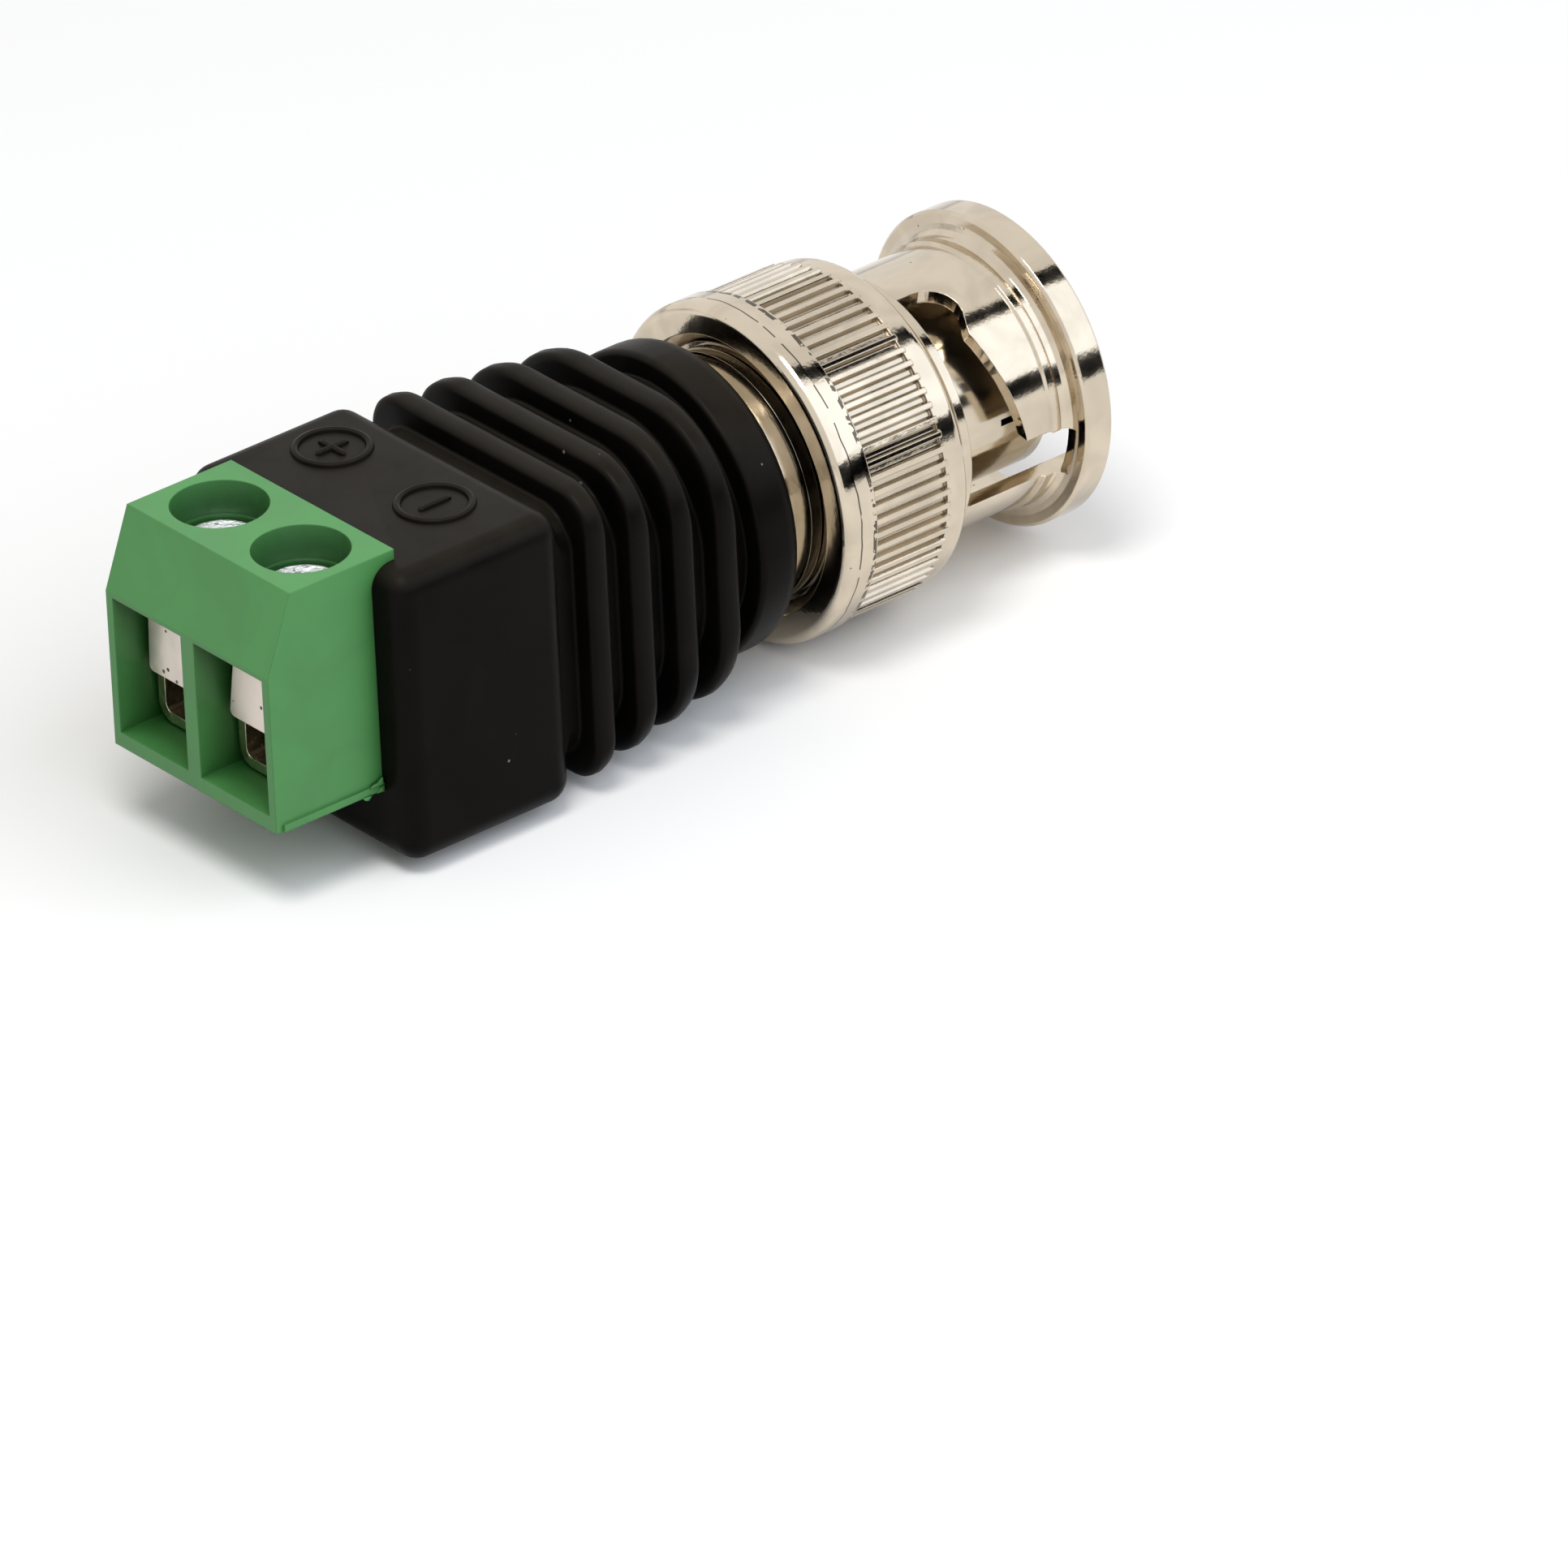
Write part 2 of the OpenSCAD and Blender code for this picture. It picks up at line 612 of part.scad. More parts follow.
module connector_body() {
    tip = 0.15;
    color("#c8beab") placed() difference() {
        turned(concat(
            spigot_side(0),
            [[journal_r, cuff_x1], [journal_r, flange_x0], [flange_r, flange_x0], [flange_r, flange_x1],
             [gasket_seat_r, flange_x1], [gasket_seat_r, flange_x1 + gasket_t],
             [contact_r, flange_x1 + gasket_t], [contact_r, contact_x1 - tip],
             [contact_r - tip, contact_x1], [0, contact_x1]]));
        turned([[0, spigot_x0 - past], [spigot_bore_r, spigot_x0 - past], [spigot_bore_r, insulator_x0],
                [bore_r, insulator_x0], [bore_r, contact_x1 - contact_bevel],
                [bore_r + contact_bevel, contact_x1], [bore_r + contact_bevel, contact_x1 + past],
                [0, contact_x1 + past]]);
        contact_slot_cuts();
    }
}

module retaining_collar() {
    edge = 0.12;
    groove_x = collar_x1 - 0.86;
    groove_w = 0.22;
    groove_in = 0.3;
    color("#b8ad98") placed() turned([
        [journal_r, cuff_x1], [collar_r - edge, cuff_x1], [collar_r, cuff_x1 + edge], [collar_r, groove_x],
        [collar_r - groove_in, groove_x], [collar_r - groove_in, groove_x + groove_w],
        [collar_r, groove_x + groove_w], [collar_r, collar_x1 - edge], [collar_r - edge, collar_x1],
        [journal_r, collar_x1]]);
}

module thrust_washer() {
    color("#b3b6ba") placed() ring(washer_in_r, washer_out_r, thrust_x0, wave_x0);
}

module seat_washer() {
    color("#b3b6ba") placed() ring(washer_in_r, washer_out_r, seat_x0, flange_x0);
}

// A thin ring bent into waves along the axis, drawn as one closed band of four-sided slices
module wave_washer() {
    steps = 48;
    swing = (wave_h - wave_t) / 2;
    function at(i, r, up) = let (a = 360 * i / steps)
        [wave_x0 + swing * (1 - cos(wave_n * a)) + up, r * cos(a), r * sin(a)];
    slice = [[washer_in_r, 0], [washer_out_r, 0], [washer_out_r, wave_t], [washer_in_r, wave_t]];
    points = [for (i = [0:steps - 1], c = slice) at(i, c[0], c[1])];
    faces = [for (i = [0:steps - 1], k = [0:3]) let (j = (i + 1) % steps, m = (k + 1) % 4)
        [4 * i + k, 4 * j + k, 4 * j + m, 4 * i + m]];
    color("#9fa3a8") placed() polyhedron(points, faces);
}

module gasket() {
    color("#7a2418") placed() ring(gasket_seat_r + mould_gap, gasket_r, flange_x1, flange_x1 + gasket_t);
}

// The knurl's outline: straight ribs with flat crests, whose feet lie inside the nut's wall
function knurl_outline() = let (step = 360 / knurl_n, foot = knurl_r - knurl_d - bond)
    [for (i = [0:knurl_n - 1], p = [[-0.4, foot], [-0.17, knurl_r], [0.17, knurl_r], [0.4, foot]])
        let (a = (i + p[0]) * step) p[1] * [cos(a), sin(a)]];

// The nut's outline outside, as [radius, station]
function nut_outside() = let (
        end_round = 0.5, end_r = nut_band_r - 0.4, front_round = 0.45, foot_r = knurl_r - knurl_d,
        neck_x = nut_x1 - window_back - 0.15, ridge = 0.14, rim_edge = 0.12)
    concat(
        [[0, nut_x0], [end_r, nut_x0]],
        [for (a = [15:15:90]) [end_r + (nut_band_r - end_r) * sin(a), nut_x0 + end_round * (1 - cos(a))]],
        [[nut_band_r, knurl_x0 - 0.1], [foot_r, knurl_x0], [foot_r, knurl_x1], [nut_front_r, knurl_x1]],
        quarter(nut_front_r - front_round, shoulder_x - front_round, front_round, 0, 90),
        [[sleeve_r + 0.72, shoulder_x], [sleeve_r + 0.62, shoulder_x + 0.3],
         [sleeve_r + 0.4, shoulder_x + 0.42], [sleeve_r + 0.3, shoulder_x + 0.62],
         [sleeve_r + 0.25, neck_x], [sleeve_r, neck_x + 0.08],
         [sleeve_r, rim_x0 - 1.02], [sleeve_r + ridge, rim_x0 - 0.92], [sleeve_r + ridge, rim_x0 - 0.56],
         [sleeve_r + 0.1, rim_x0 - 0.5], [sleeve_r + 0.18, rim_x0 - 0.26], [sleeve_r + 0.36, rim_x0 - 0.1],
         [sleeve_r + 0.62, rim_x0], [rim_r - rim_edge, rim_x0], [rim_r, rim_x0 + rim_edge],
         [rim_r, nut_x1 - rim_edge], [rim_r - rim_edge, nut_x1], [0, nut_x1]]);

// The nut's bore: coned recess, lip on the journal, and the wide bore with its bevelled mouth
function nut_inside() = [
    [0, nut_x0 - past], [recess_r, nut_x0 - past], [recess_r, nut_x0], [recess_r - recess_d, lip_x0],
    [journal_r + journal_gap, lip_x0], [journal_r + journal_gap, lip_x1], [nut_bore_r, lip_x1],
    [nut_bore_r, nut_x1 - mouth_bevel], [nut_bore_r + mouth_bevel, nut_x1],
    [nut_bore_r + mouth_bevel, nut_x1 + past], [0, nut_x1 + past]];

// Angle on the sleeve that an arc of a given length takes
function sleeve_angle(l) = l / sleeve_r * 180 / PI;

// The window's front edge from the seat's far side to the entry, as [angle, station]
function window_edge() = let (
        seat_a = entry_a - lock_turn, seat_x = nut_x1 - seat_back - seat_r,
        entry_edge = entry_a - sleeve_angle(entry_w / 2), seat_steps = 7, seat_end = 58, ramp_steps = 9)
    concat(
        [for (i = [0:seat_steps]) let (a = 180 - i * (180 - seat_end) / seat_steps)
            [seat_a + sleeve_angle(seat_r) * cos(a), seat_x + seat_r * sin(a)]],
        [for (i = [1:ramp_steps]) let (
            a0 = seat_a + sleeve_angle(seat_r) * cos(seat_end), a = a0 + (entry_edge - a0) * i / ramp_steps,
            s = (a - seat_a) / (entry_edge - seat_a))
            [a, nut_x1 - ramp_back + (ramp_back - ramp_front) * s]],
        [[entry_a + sleeve_angle(entry_w / 2) * 0.97, nut_x1 - ramp_front]]);

// The cutter for one bayonet window: a band between the straight rear edge and the front edge
module bayonet_window() {
    edge = window_edge();
    inner = nut_bore_r - 0.5;
    outer = rim_r;
    back = nut_x1 - window_back;
    points = [for (e = edge, c = [[back, inner], [back, outer], [e[1], outer], [e[1], inner]])
        [c[0], c[1] * cos(e[0]), c[1] * sin(e[0])]];
    last = len(edge) - 1;
    faces = concat(
        [[0, 3, 2, 1]],
        [for (i = [0:last - 1], k = [0:3]) let (m = (k + 1) % 4)
            [4 * i + k, 4 * i + m, 4 * i + 4 + m, 4 * i + 4 + k]],
        [[4 * last, 4 * last + 1, 4 * last + 2, 4 * last + 3]]);
    polyhedron(points, faces);
    // The entry starts inside the window and stops just short of the rim's rear face
    step = 0.3;
    entry_x0 = back + step;
    rotate([entry_a, 0, 0]) {
        translate([entry_x0, inner, -entry_w / 2]) cube([rim_x0 - 0.05 - entry_x0, rim_r, entry_w]);
        intersection() {
            translate([entry_x0 + step, inner, -entry_w / 2])
                cube([nut_x1 - entry_x0 + past, entry_r, entry_w]);
            rotate([0, 90, 0]) cylinder(h = nut_x1 + past, r = entry_r, $fn = turned_fn);
        }
    }
}

module coupling_nut() {
    color("#cdc3b0") placed() difference() {
        union() {
            turned(nut_outside());
            translate([knurl_x0 - bond, 0, 0]) rotate([0, 90, 0])
                linear_extrude(knurl_x1 - knurl_x0 + 2 * bond) polygon(knurl_outline());
        }
        turned(nut_inside());
        for (turn = [0, 180]) rotate([turn, 0, 0]) bayonet_window();
    }
}

module dielectric() {
    color("#d9d8dc") placed() difference() {
        ring(0, bore_r - insulator_gap, insulator_x0, insulator_x1);
        rod(insulator_x0 - past, pin_step_x, pin_stem_r);
        rod(pin_step_x - bond, insulator_x1 + past, pin_r);
        rod(insulator_x0 - past, insulator_x0 + pin_collar_l, pin_collar_r);
    }
}

module rear_insulator() {
    color("#e6e2d8") placed()
        ring(pin_stem_r, spigot_bore_r - insulator_gap, insulator_x0 - rear_insulator_l, insulator_x0);
}

// The centre contact: solder cup, stem, trapped collar and rounded tip
module centre_pin() {
    pin_x1 = insulator_x1 + pin_out;
    color("#d9a531") placed() difference() {
        turned(concat(
            [[0, pin_x0], [pin_stem_r, pin_x0], [pin_stem_r, insulator_x0], [pin_collar_r, insulator_x0],
             [pin_collar_r, insulator_x0 + pin_collar_l], [pin_stem_r, insulator_x0 + pin_collar_l],
             [pin_stem_r, pin_step_x], [pin_r, pin_step_x]],
            [for (a = [0:15:75]) [pin_r * cos(a), pin_x1 - 0.45 * (1 - sin(a))]],
            [[0, pin_x1]]));
        rod(pin_x0 - past, pin_x0 + cup_d, wire_r + cup_gap);
    }
}

block_housing();
terminal_screw_plus();
terminal_screw_minus();
clamp_cage_plus();
clamp_cage_minus();
contact_strip_plus();
contact_strip_minus();
boot();
lead_plus();
lead_minus();
connector_body();
retaining_collar();
thrust_washer();
wave_washer();
seat_washer();
gasket();
coupling_nut();
dielectric();
rear_insulator();
centre_pin();
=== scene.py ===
import json
import math

import bmesh
import bpy
from mathutils import Matrix, Vector


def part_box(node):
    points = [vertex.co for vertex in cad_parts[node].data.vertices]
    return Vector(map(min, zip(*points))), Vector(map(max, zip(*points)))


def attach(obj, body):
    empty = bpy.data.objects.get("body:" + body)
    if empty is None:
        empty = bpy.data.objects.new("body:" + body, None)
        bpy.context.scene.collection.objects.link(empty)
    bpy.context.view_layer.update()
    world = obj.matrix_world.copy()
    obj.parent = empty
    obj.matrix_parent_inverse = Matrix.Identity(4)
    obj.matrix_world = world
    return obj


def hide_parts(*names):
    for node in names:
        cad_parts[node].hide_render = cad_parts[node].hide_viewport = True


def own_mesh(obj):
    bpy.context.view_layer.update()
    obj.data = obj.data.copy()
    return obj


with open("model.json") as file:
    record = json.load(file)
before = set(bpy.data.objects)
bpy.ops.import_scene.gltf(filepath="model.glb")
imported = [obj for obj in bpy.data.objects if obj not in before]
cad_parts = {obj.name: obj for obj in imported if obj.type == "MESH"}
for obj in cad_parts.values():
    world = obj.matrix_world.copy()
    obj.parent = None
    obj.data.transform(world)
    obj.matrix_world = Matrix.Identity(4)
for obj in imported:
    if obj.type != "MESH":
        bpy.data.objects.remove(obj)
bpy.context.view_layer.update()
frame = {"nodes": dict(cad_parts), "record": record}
nodes = frame["nodes"]
MM = 0.001
BLACK = (0.0, 0.0, 0.0, 1.0)
WHITE = (1.0, 1.0, 1.0, 1.0)

# Where the photograph was taken from, found by fitting the adapter's own edges to it, in radians, mm and pixels
CAMERA_TURN = (1.96762, -0.73993, 0.38132)
CAMERA_SHIFT = (-23.136, -2.953, 794.1)
FOCAL_PIXELS = 25089.0
PICTURE_PIXELS = 1932.0
LENS_SENSOR = 36.0
CLIP_RANGE = (0.01, 10.0)

# The studio, in metres and degrees: floor, level of the surroundings, lamp, and the strips beside the adapter
FLOOR_HALF = 1.5
FLOOR_WHITE = (1.02, 1.0, 0.968, 1.0)
FLOOR_BOUNCE = (0.45, 0.45, 0.45, 1.0)
SOFT_LEVEL = 0.435
KEY_POWER = 0.5
KEY_FROM = (215, 68)
KEY_AWAY = 0.35
KEY_SIZE = 0.14
PANEL_COLOUR = (1.6, 1.72, 1.9, 1.0)
PANEL_ANGLES = (113.0, 164.0)
CARD_ANGLES = ((100.0, 111.0), (165.0, 180.0))
CARD_AWAY = 0.5
CARD_ENDS = (-0.3, 0.9)


def linear(r, g, b):
    """A colour read off the photograph, 0 to 255, as the linear light that a shader wants."""
    def one(c):
        c = c / 255.0
        return c / 12.92 if c <= 0.04045 else ((c + 0.055) / 1.055) ** 2.4
    return (one(r), one(g), one(b), 1.0)


def stations():
    """Main places along the adapter, in metres, read from the frame."""
    nut_low, nut_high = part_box("coupling_nut")
    block_low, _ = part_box("block_housing")
    return {"axis_z": (nut_low.z + nut_high.z) / 2, "nut_x0": nut_low.x, "block_x0": block_low.x}


place = stations()

# Rays that soft edges and crevices cast, and the spans of slow noise over which tone and roughness change
PROBE_RAYS = 6
TONE_SPAN = (0.3, 0.7)
ROUGH_SPAN = (0.25, 0.75)


# Node tools
def new_group(name, inputs, outputs):
    tree = bpy.data.node_groups.new(name, "ShaderNodeTree")
    for socket, kind, value in inputs:
        s = tree.interface.new_socket(name=socket, in_out="INPUT", socket_type=kind)
        s.default_value = value
    for socket, kind in outputs:
        tree.interface.new_socket(name=socket, in_out="OUTPUT", socket_type=kind)
    return tree, tree.nodes.new("NodeGroupInput"), tree.nodes.new("NodeGroupOutput")


def add(tree, kind, values=None, **settings):
    node = tree.nodes.new(kind)
    for key, value in settings.items():
        setattr(node, key, value)
    for key, value in (values or {}).items():
        node.inputs[key].default_value = value
    return node


def maths(tree, operation, a, b=None):
    node = add(tree, "ShaderNodeMath", operation=operation)
    for index, value in enumerate((a, b)):
        if value is None:
            continue
        if isinstance(value, (int, float)):
            node.inputs[index].default_value = value
        else:
            tree.links.new(value, node.inputs[index])
    return node.outputs[0]


def ramp(tree, value, span, out=(0.0, 1.0)):
    """A smooth step from one result to the other while the value crosses a span."""
    limits = {"From Min": span[0], "From Max": span[1], "To Min": out[0], "To Max": out[1]}
    node = add(tree, "ShaderNodeMapRange", limits, interpolation_type="SMOOTHSTEP")
    tree.links.new(value, node.inputs["Value"])
    return node.outputs["Result"]


def mix_colour(tree, factor, a, b):
    node = add(tree, "ShaderNodeMix", data_type="RGBA")
    for socket, value in ((node.inputs[0], factor), (node.inputs[6], a), (node.inputs[7], b)):
        if isinstance(value, tuple):
            socket.default_value = value
        else:
            tree.links.new(value, socket)
    return node.outputs[2]


def texture(tree, kind, where, scale, values):
    """A texture node at the object's own place, at a scale that is a number or a socket."""
    node = add(tree, kind, values)
    tree.links.new(where, node.inputs["Vector"])
    if isinstance(scale, float):
        node.inputs["Scale"].default_value = scale
    else:
        tree.links.new(scale, node.inputs["Scale"])
    return node


def per_metre(tree, size_mm):
    """The texture scale whose features are as large as a socket in millimetres says."""
    return maths(tree, "DIVIDE", 1.0 / MM, size_mm)


def split_axes(tree, where):
    axes = add(tree, "ShaderNodeSeparateXYZ")
    tree.links.new(where, axes.inputs[0])
    return axes.outputs


def toned(colour, share):
    """A colour made darker or lighter by a share."""
    return tuple(min(1.0, c * share) for c in colour[:3]) + (1.0,)


def grain_group():
    """Fine grain with slow flow in it: tone for the colour, height for the bump."""
    tree, inside, outside = new_group(
        "Grain",
        [("Vector", "NodeSocketVector", (0, 0, 0)), ("Grain size mm", "NodeSocketFloat", 0.1),
         ("Flow size mm", "NodeSocketFloat", 3.0)],
        [("Tone", "NodeSocketFloat"), ("Height", "NodeSocketFloat")])
    where = inside.outputs["Vector"]
    fine = texture(tree, "ShaderNodeTexNoise", where, per_metre(tree, inside.outputs["Grain size mm"]),
                   {"Detail": 4.0, "Roughness": 0.6})
    flow = texture(tree, "ShaderNodeTexNoise", where, per_metre(tree, inside.outputs["Flow size mm"]),
                   {"Detail": 2.0, "Roughness": 0.5, "Distortion": 0.8})
    tree.links.new(flow.outputs["Fac"], outside.inputs["Tone"])
    tree.links.new(fine.outputs["Fac"], outside.inputs["Height"])
    return tree


def specks_group():
    """Sparse specks of uneven size, as a mask: most cells of the pattern hold none."""
    empty_share = 0.62
    tree, inside, outside = new_group(
        "Dust specks",
        [("Vector", "NodeSocketVector", (0, 0, 0)), ("Spacing mm", "NodeSocketFloat", 1.2),
         ("Speck mm", "NodeSocketFloat", 0.05)],
        [("Mask", "NodeSocketFloat")])
    spacing = inside.outputs["Spacing mm"]
    cells = texture(tree, "ShaderNodeTexVoronoi", inside.outputs["Vector"], per_metre(tree, spacing),
                    {"Randomness": 1.0})
    chance = add(tree, "ShaderNodeSeparateColor")
    tree.links.new(cells.outputs["Color"], chance.inputs["Color"])
    share = maths(tree, "DIVIDE", inside.outputs["Speck mm"], spacing)
    radius = maths(tree, "MULTIPLY", share, chance.outputs[0])
    near = maths(tree, "LESS_THAN", cells.outputs["Distance"], radius)
    chosen = maths(tree, "GREATER_THAN", chance.outputs[1], empty_share)
    tree.links.new(maths(tree, "MULTIPLY", near, chosen), outside.inputs["Mask"])
    return tree


def cast_line_group():
    """A broken line round the adapter at a station, as a mask, and a slope that starts there, as a height."""
    wander_scale, wander_mm = 0.7 / MM, 0.22
    tree, inside, outside = new_group(
        "Cast line",
        [("Vector", "NodeSocketVector", (0, 0, 0)), ("Station mm", "NodeSocketFloat", 0.0),
         ("Half width mm", "NodeSocketFloat", 0.05), ("Gaps", "NodeSocketFloat", 0.5),
         ("Dot mm", "NodeSocketFloat", 0.3)],
        [("Mask", "NodeSocketFloat"), ("Height", "NodeSocketFloat")])
    where = inside.outputs["Vector"]
    along = maths(tree, "MULTIPLY", split_axes(tree, where)["X"], 1.0 / MM)
    away = maths(tree, "SUBTRACT", along, inside.outputs["Station mm"])
    wander = texture(tree, "ShaderNodeTexNoise", where, wander_scale, {"Detail": 1.0})
    shift = maths(tree, "MULTIPLY", maths(tree, "SUBTRACT", wander.outputs["Fac"], 0.5), wander_mm)
    near = maths(tree, "ABSOLUTE", maths(tree, "ADD", away, shift))
    band = maths(tree, "LESS_THAN", near, inside.outputs["Half width mm"])
    dots = texture(tree, "ShaderNodeTexNoise", where, per_metre(tree, inside.outputs["Dot mm"]), {"Detail": 1.0})
    seen = maths(tree, "GREATER_THAN", dots.outputs["Fac"], inside.outputs["Gaps"])
    tree.links.new(maths(tree, "MULTIPLY", band, seen), outside.inputs["Mask"])
    tree.links.new(maths(tree, "MULTIPLY", maths(tree, "MINIMUM", away, 0.0), MM), outside.inputs["Height"])
    return tree


def top_light_film_group():
    """Painted top light: a lighter, dust-coloured tone on faces that look up, broken by slow noise, as a mask."""
    upward_span = (0.25, 0.95)
    patch_mm, patch_span, patch_shares = 2.2, (0.2, 0.65), (0.6, 1.0)
    tree, inside, outside = new_group(
        "Painted top light", [("Vector", "NodeSocketVector", (0, 0, 0)), ("Amount", "NodeSocketFloat", 0.5)],
        [("Mask", "NodeSocketFloat")])
    normal = add(tree, "ShaderNodeNewGeometry").outputs["Normal"]
    lie = ramp(tree, split_axes(tree, normal)["Z"], upward_span)
    noise = texture(tree, "ShaderNodeTexNoise", inside.outputs["Vector"], 1.0 / (patch_mm * MM),
                    {"Detail": 4.0, "Roughness": 0.65})
    broken = ramp(tree, noise.outputs["Fac"], patch_span, patch_shares)
    mask = maths(tree, "MULTIPLY", maths(tree, "MULTIPLY", lie, broken), inside.outputs["Amount"])
    tree.links.new(mask, outside.inputs["Mask"])
    return tree


def crevice_group():
    """Shade for corners and hollows that light hardly reaches: 1 in the open, 0 deep inside."""
    open_span = (0.15, 0.85)
    tree, inside, outside = new_group(
        "Crevice", [("Reach mm", "NodeSocketFloat", 2.0), ("Depth", "NodeSocketFloat", 0.6)],
        [("Open", "NodeSocketFloat")])
    hollow = add(tree, "ShaderNodeAmbientOcclusion", samples=PROBE_RAYS)
    tree.links.new(maths(tree, "MULTIPLY", inside.outputs["Reach mm"], MM), hollow.inputs["Distance"])
    closed = maths(tree, "SUBTRACT", 1.0, ramp(tree, hollow.outputs["AO"], open_span))
    shade = maths(tree, "SUBTRACT", 1.0, maths(tree, "MULTIPLY", closed, inside.outputs["Depth"]))
    tree.links.new(shade, outside.inputs["Open"])
    return tree


GRAIN = grain_group()
SPECKS = specks_group()
TOP_LIGHT_FILM = top_light_film_group()
CAST_LINE = cast_line_group()
CREVICE = crevice_group()


def blank_material(name):
    material = bpy.data.materials.new(name)
    material.use_nodes = True
    tree = material.node_tree
    tree.nodes.clear()
    shader = add(tree, "ShaderNodeBsdfPrincipled")
    out = add(tree, "ShaderNodeOutputMaterial")
    tree.links.new(shader.outputs[0], out.inputs[0])
    return material, tree, shader


def use_group(tree, group, values, where=None):
    node = add(tree, "ShaderNodeGroup", node_tree=group)
    if where is not None:
        tree.links.new(where, node.inputs["Vector"])
    for key, value in values.items():
        node.inputs[key].default_value = value
    return node.outputs


def rounded_normal(tree, radius_mm):
    return add(tree, "ShaderNodeBevel", {"Radius": radius_mm * MM}, samples=PROBE_RAYS).outputs[0]


def bump(tree, height, strength, distance, normal):
    node = add(tree, "ShaderNodeBump", {"Strength": strength, "Distance": distance})
    tree.links.new(height, node.inputs["Height"])
    tree.links.new(normal, node.inputs["Normal"])
    return node.outputs[0]


def shaded(tree, base, crevice, deep=BLACK):
    """The base colour, turned towards a deep tone in crevices by (reach in mm, depth): painted shade."""
    if not crevice:
        return base
    opening = use_group(tree, CREVICE, {"Reach mm": crevice[0], "Depth": crevice[1]})["Open"]
    return mix_colour(tree, opening, deep, base)


def skin_base(name, colour, tone_change, grain, flow):
    """A new material with the tone flow and grain that plastic and metal share."""
    material, tree, shader = blank_material(name)
    where = add(tree, "ShaderNodeTexCoord").outputs["Object"]
    grained = use_group(tree, GRAIN, {"Grain size mm": grain, "Flow size mm": flow}, where)
    tone = ramp(tree, grained["Tone"], TONE_SPAN)
    base = mix_colour(tree, tone, toned(colour, 1 - tone_change), toned(colour, 1 + tone_change))
    return material, tree, shader, where, grained, base


def plastic(name, colour, roughness, edge_mm, tone_change=0.12, specks=None, grain=0.12, grain_strength=0.15,
            specular=0.5, top_light=None, crevice=(2.5, 0.5), deep=BLACK):
    """Moulded plastic: slow tone flow, fine grain, softened edges, and a painted lighter tone on upward faces,
    standing in for top light, if asked.
    """
    flow, bump_mm, smoother, rougher = 3.5, 0.01, 0.05, 0.06
    material, tree, shader, where, grained, base = skin_base(name, colour, tone_change, grain, flow)
    if specks:
        speck = use_group(tree, SPECKS, {"Spacing mm": specks[0], "Speck mm": specks[1]}, where)
        base = mix_colour(tree, speck["Mask"], base, specks[2])
    # Painted top light: faces that look up are mixed towards a lighter, dust-coloured tone.
    if top_light:
        lit_top = use_group(tree, TOP_LIGHT_FILM, {"Amount": top_light[0]}, where)
        base = mix_colour(tree, lit_top["Mask"], base, top_light[1])
    # Painted shade: the base colour darkens in crevices.
    tree.links.new(shaded(tree, base, crevice, deep), shader.inputs["Base Color"])
    rough = ramp(tree, grained["Tone"], ROUGH_SPAN, (roughness - smoother, roughness + rougher))
    tree.links.new(rough, shader.inputs["Roughness"])
    shader.inputs["Specular IOR Level"].default_value = specular
    normal = bump(tree, grained["Height"], grain_strength, bump_mm * MM, rounded_normal(tree, edge_mm))
    tree.links.new(normal, shader.inputs["Normal"])
    return material


def dome_height(tree):
    """A height that falls from 0 in the middle of a piece, seen from above, to -1 at its sides."""
    axes = split_axes(tree, add(tree, "ShaderNodeTexCoord").outputs["Generated"])
    squares = [maths(tree, "POWER", maths(tree, "SUBTRACT", axes[side], 0.5), 2.0) for side in "XY"]
    return maths(tree, "MULTIPLY", maths(tree, "ADD", squares[0], squares[1]), -4.0)


# How dark a casting line is beside the metal round it
LINE_TONE = 0.2


def metal(name, colour, roughness, edge_mm, wave=0.25, pits=(0.7, 0.06, 0.45), crevice=(1.6, 0.55), grain=0.9,
          lines=(), slope=None, dome_mm=0.0):
    """Plated metal: a slightly uneven skin with tiny dull pits, given as their spacing, size and tone."""
    tone_change, flow_share, bump_mm, pit_dullness = 0.08, 2.4, 0.02, 0.3
    smoother, rougher = 0.8, 1.25
    material, tree, shader, where, grained, base = skin_base(name, colour, tone_change, grain, flow_share * grain)
    rough = ramp(tree, grained["Tone"], ROUGH_SPAN, (roughness * smoother, roughness * rougher))
    pit = use_group(tree, SPECKS, {"Spacing mm": pits[0], "Speck mm": pits[1]}, where)["Mask"]
    base = mix_colour(tree, pit, base, toned(colour, pits[2]))
    rough = maths(tree, "ADD", rough, maths(tree, "MULTIPLY", pit, pit_dullness))
    for station, half_width, gaps, dot in lines:
        values = {"Station mm": station, "Half width mm": half_width, "Gaps": gaps, "Dot mm": dot}
        line = use_group(tree, CAST_LINE, values, where)
        base = mix_colour(tree, line["Mask"], base, toned(colour, LINE_TONE))
    # Painted shade: the base colour darkens in crevices.
    tree.links.new(shaded(tree, base, crevice), shader.inputs["Base Color"])
    tree.links.new(rough, shader.inputs["Roughness"])
    shader.inputs["Metallic"].default_value = 1.0
    normal = rounded_normal(tree, edge_mm)
    if slope:
        turned = use_group(tree, CAST_LINE, {"Station mm": slope[0]}, where)
        normal = bump(tree, turned["Height"], 1.0, slope[1], normal)
    if dome_mm:
        normal = bump(tree, dome_height(tree), 1.0, dome_mm * MM, normal)
    tree.links.new(bump(tree, grained["Height"], wave, bump_mm * MM, normal), shader.inputs["Normal"])
    return material


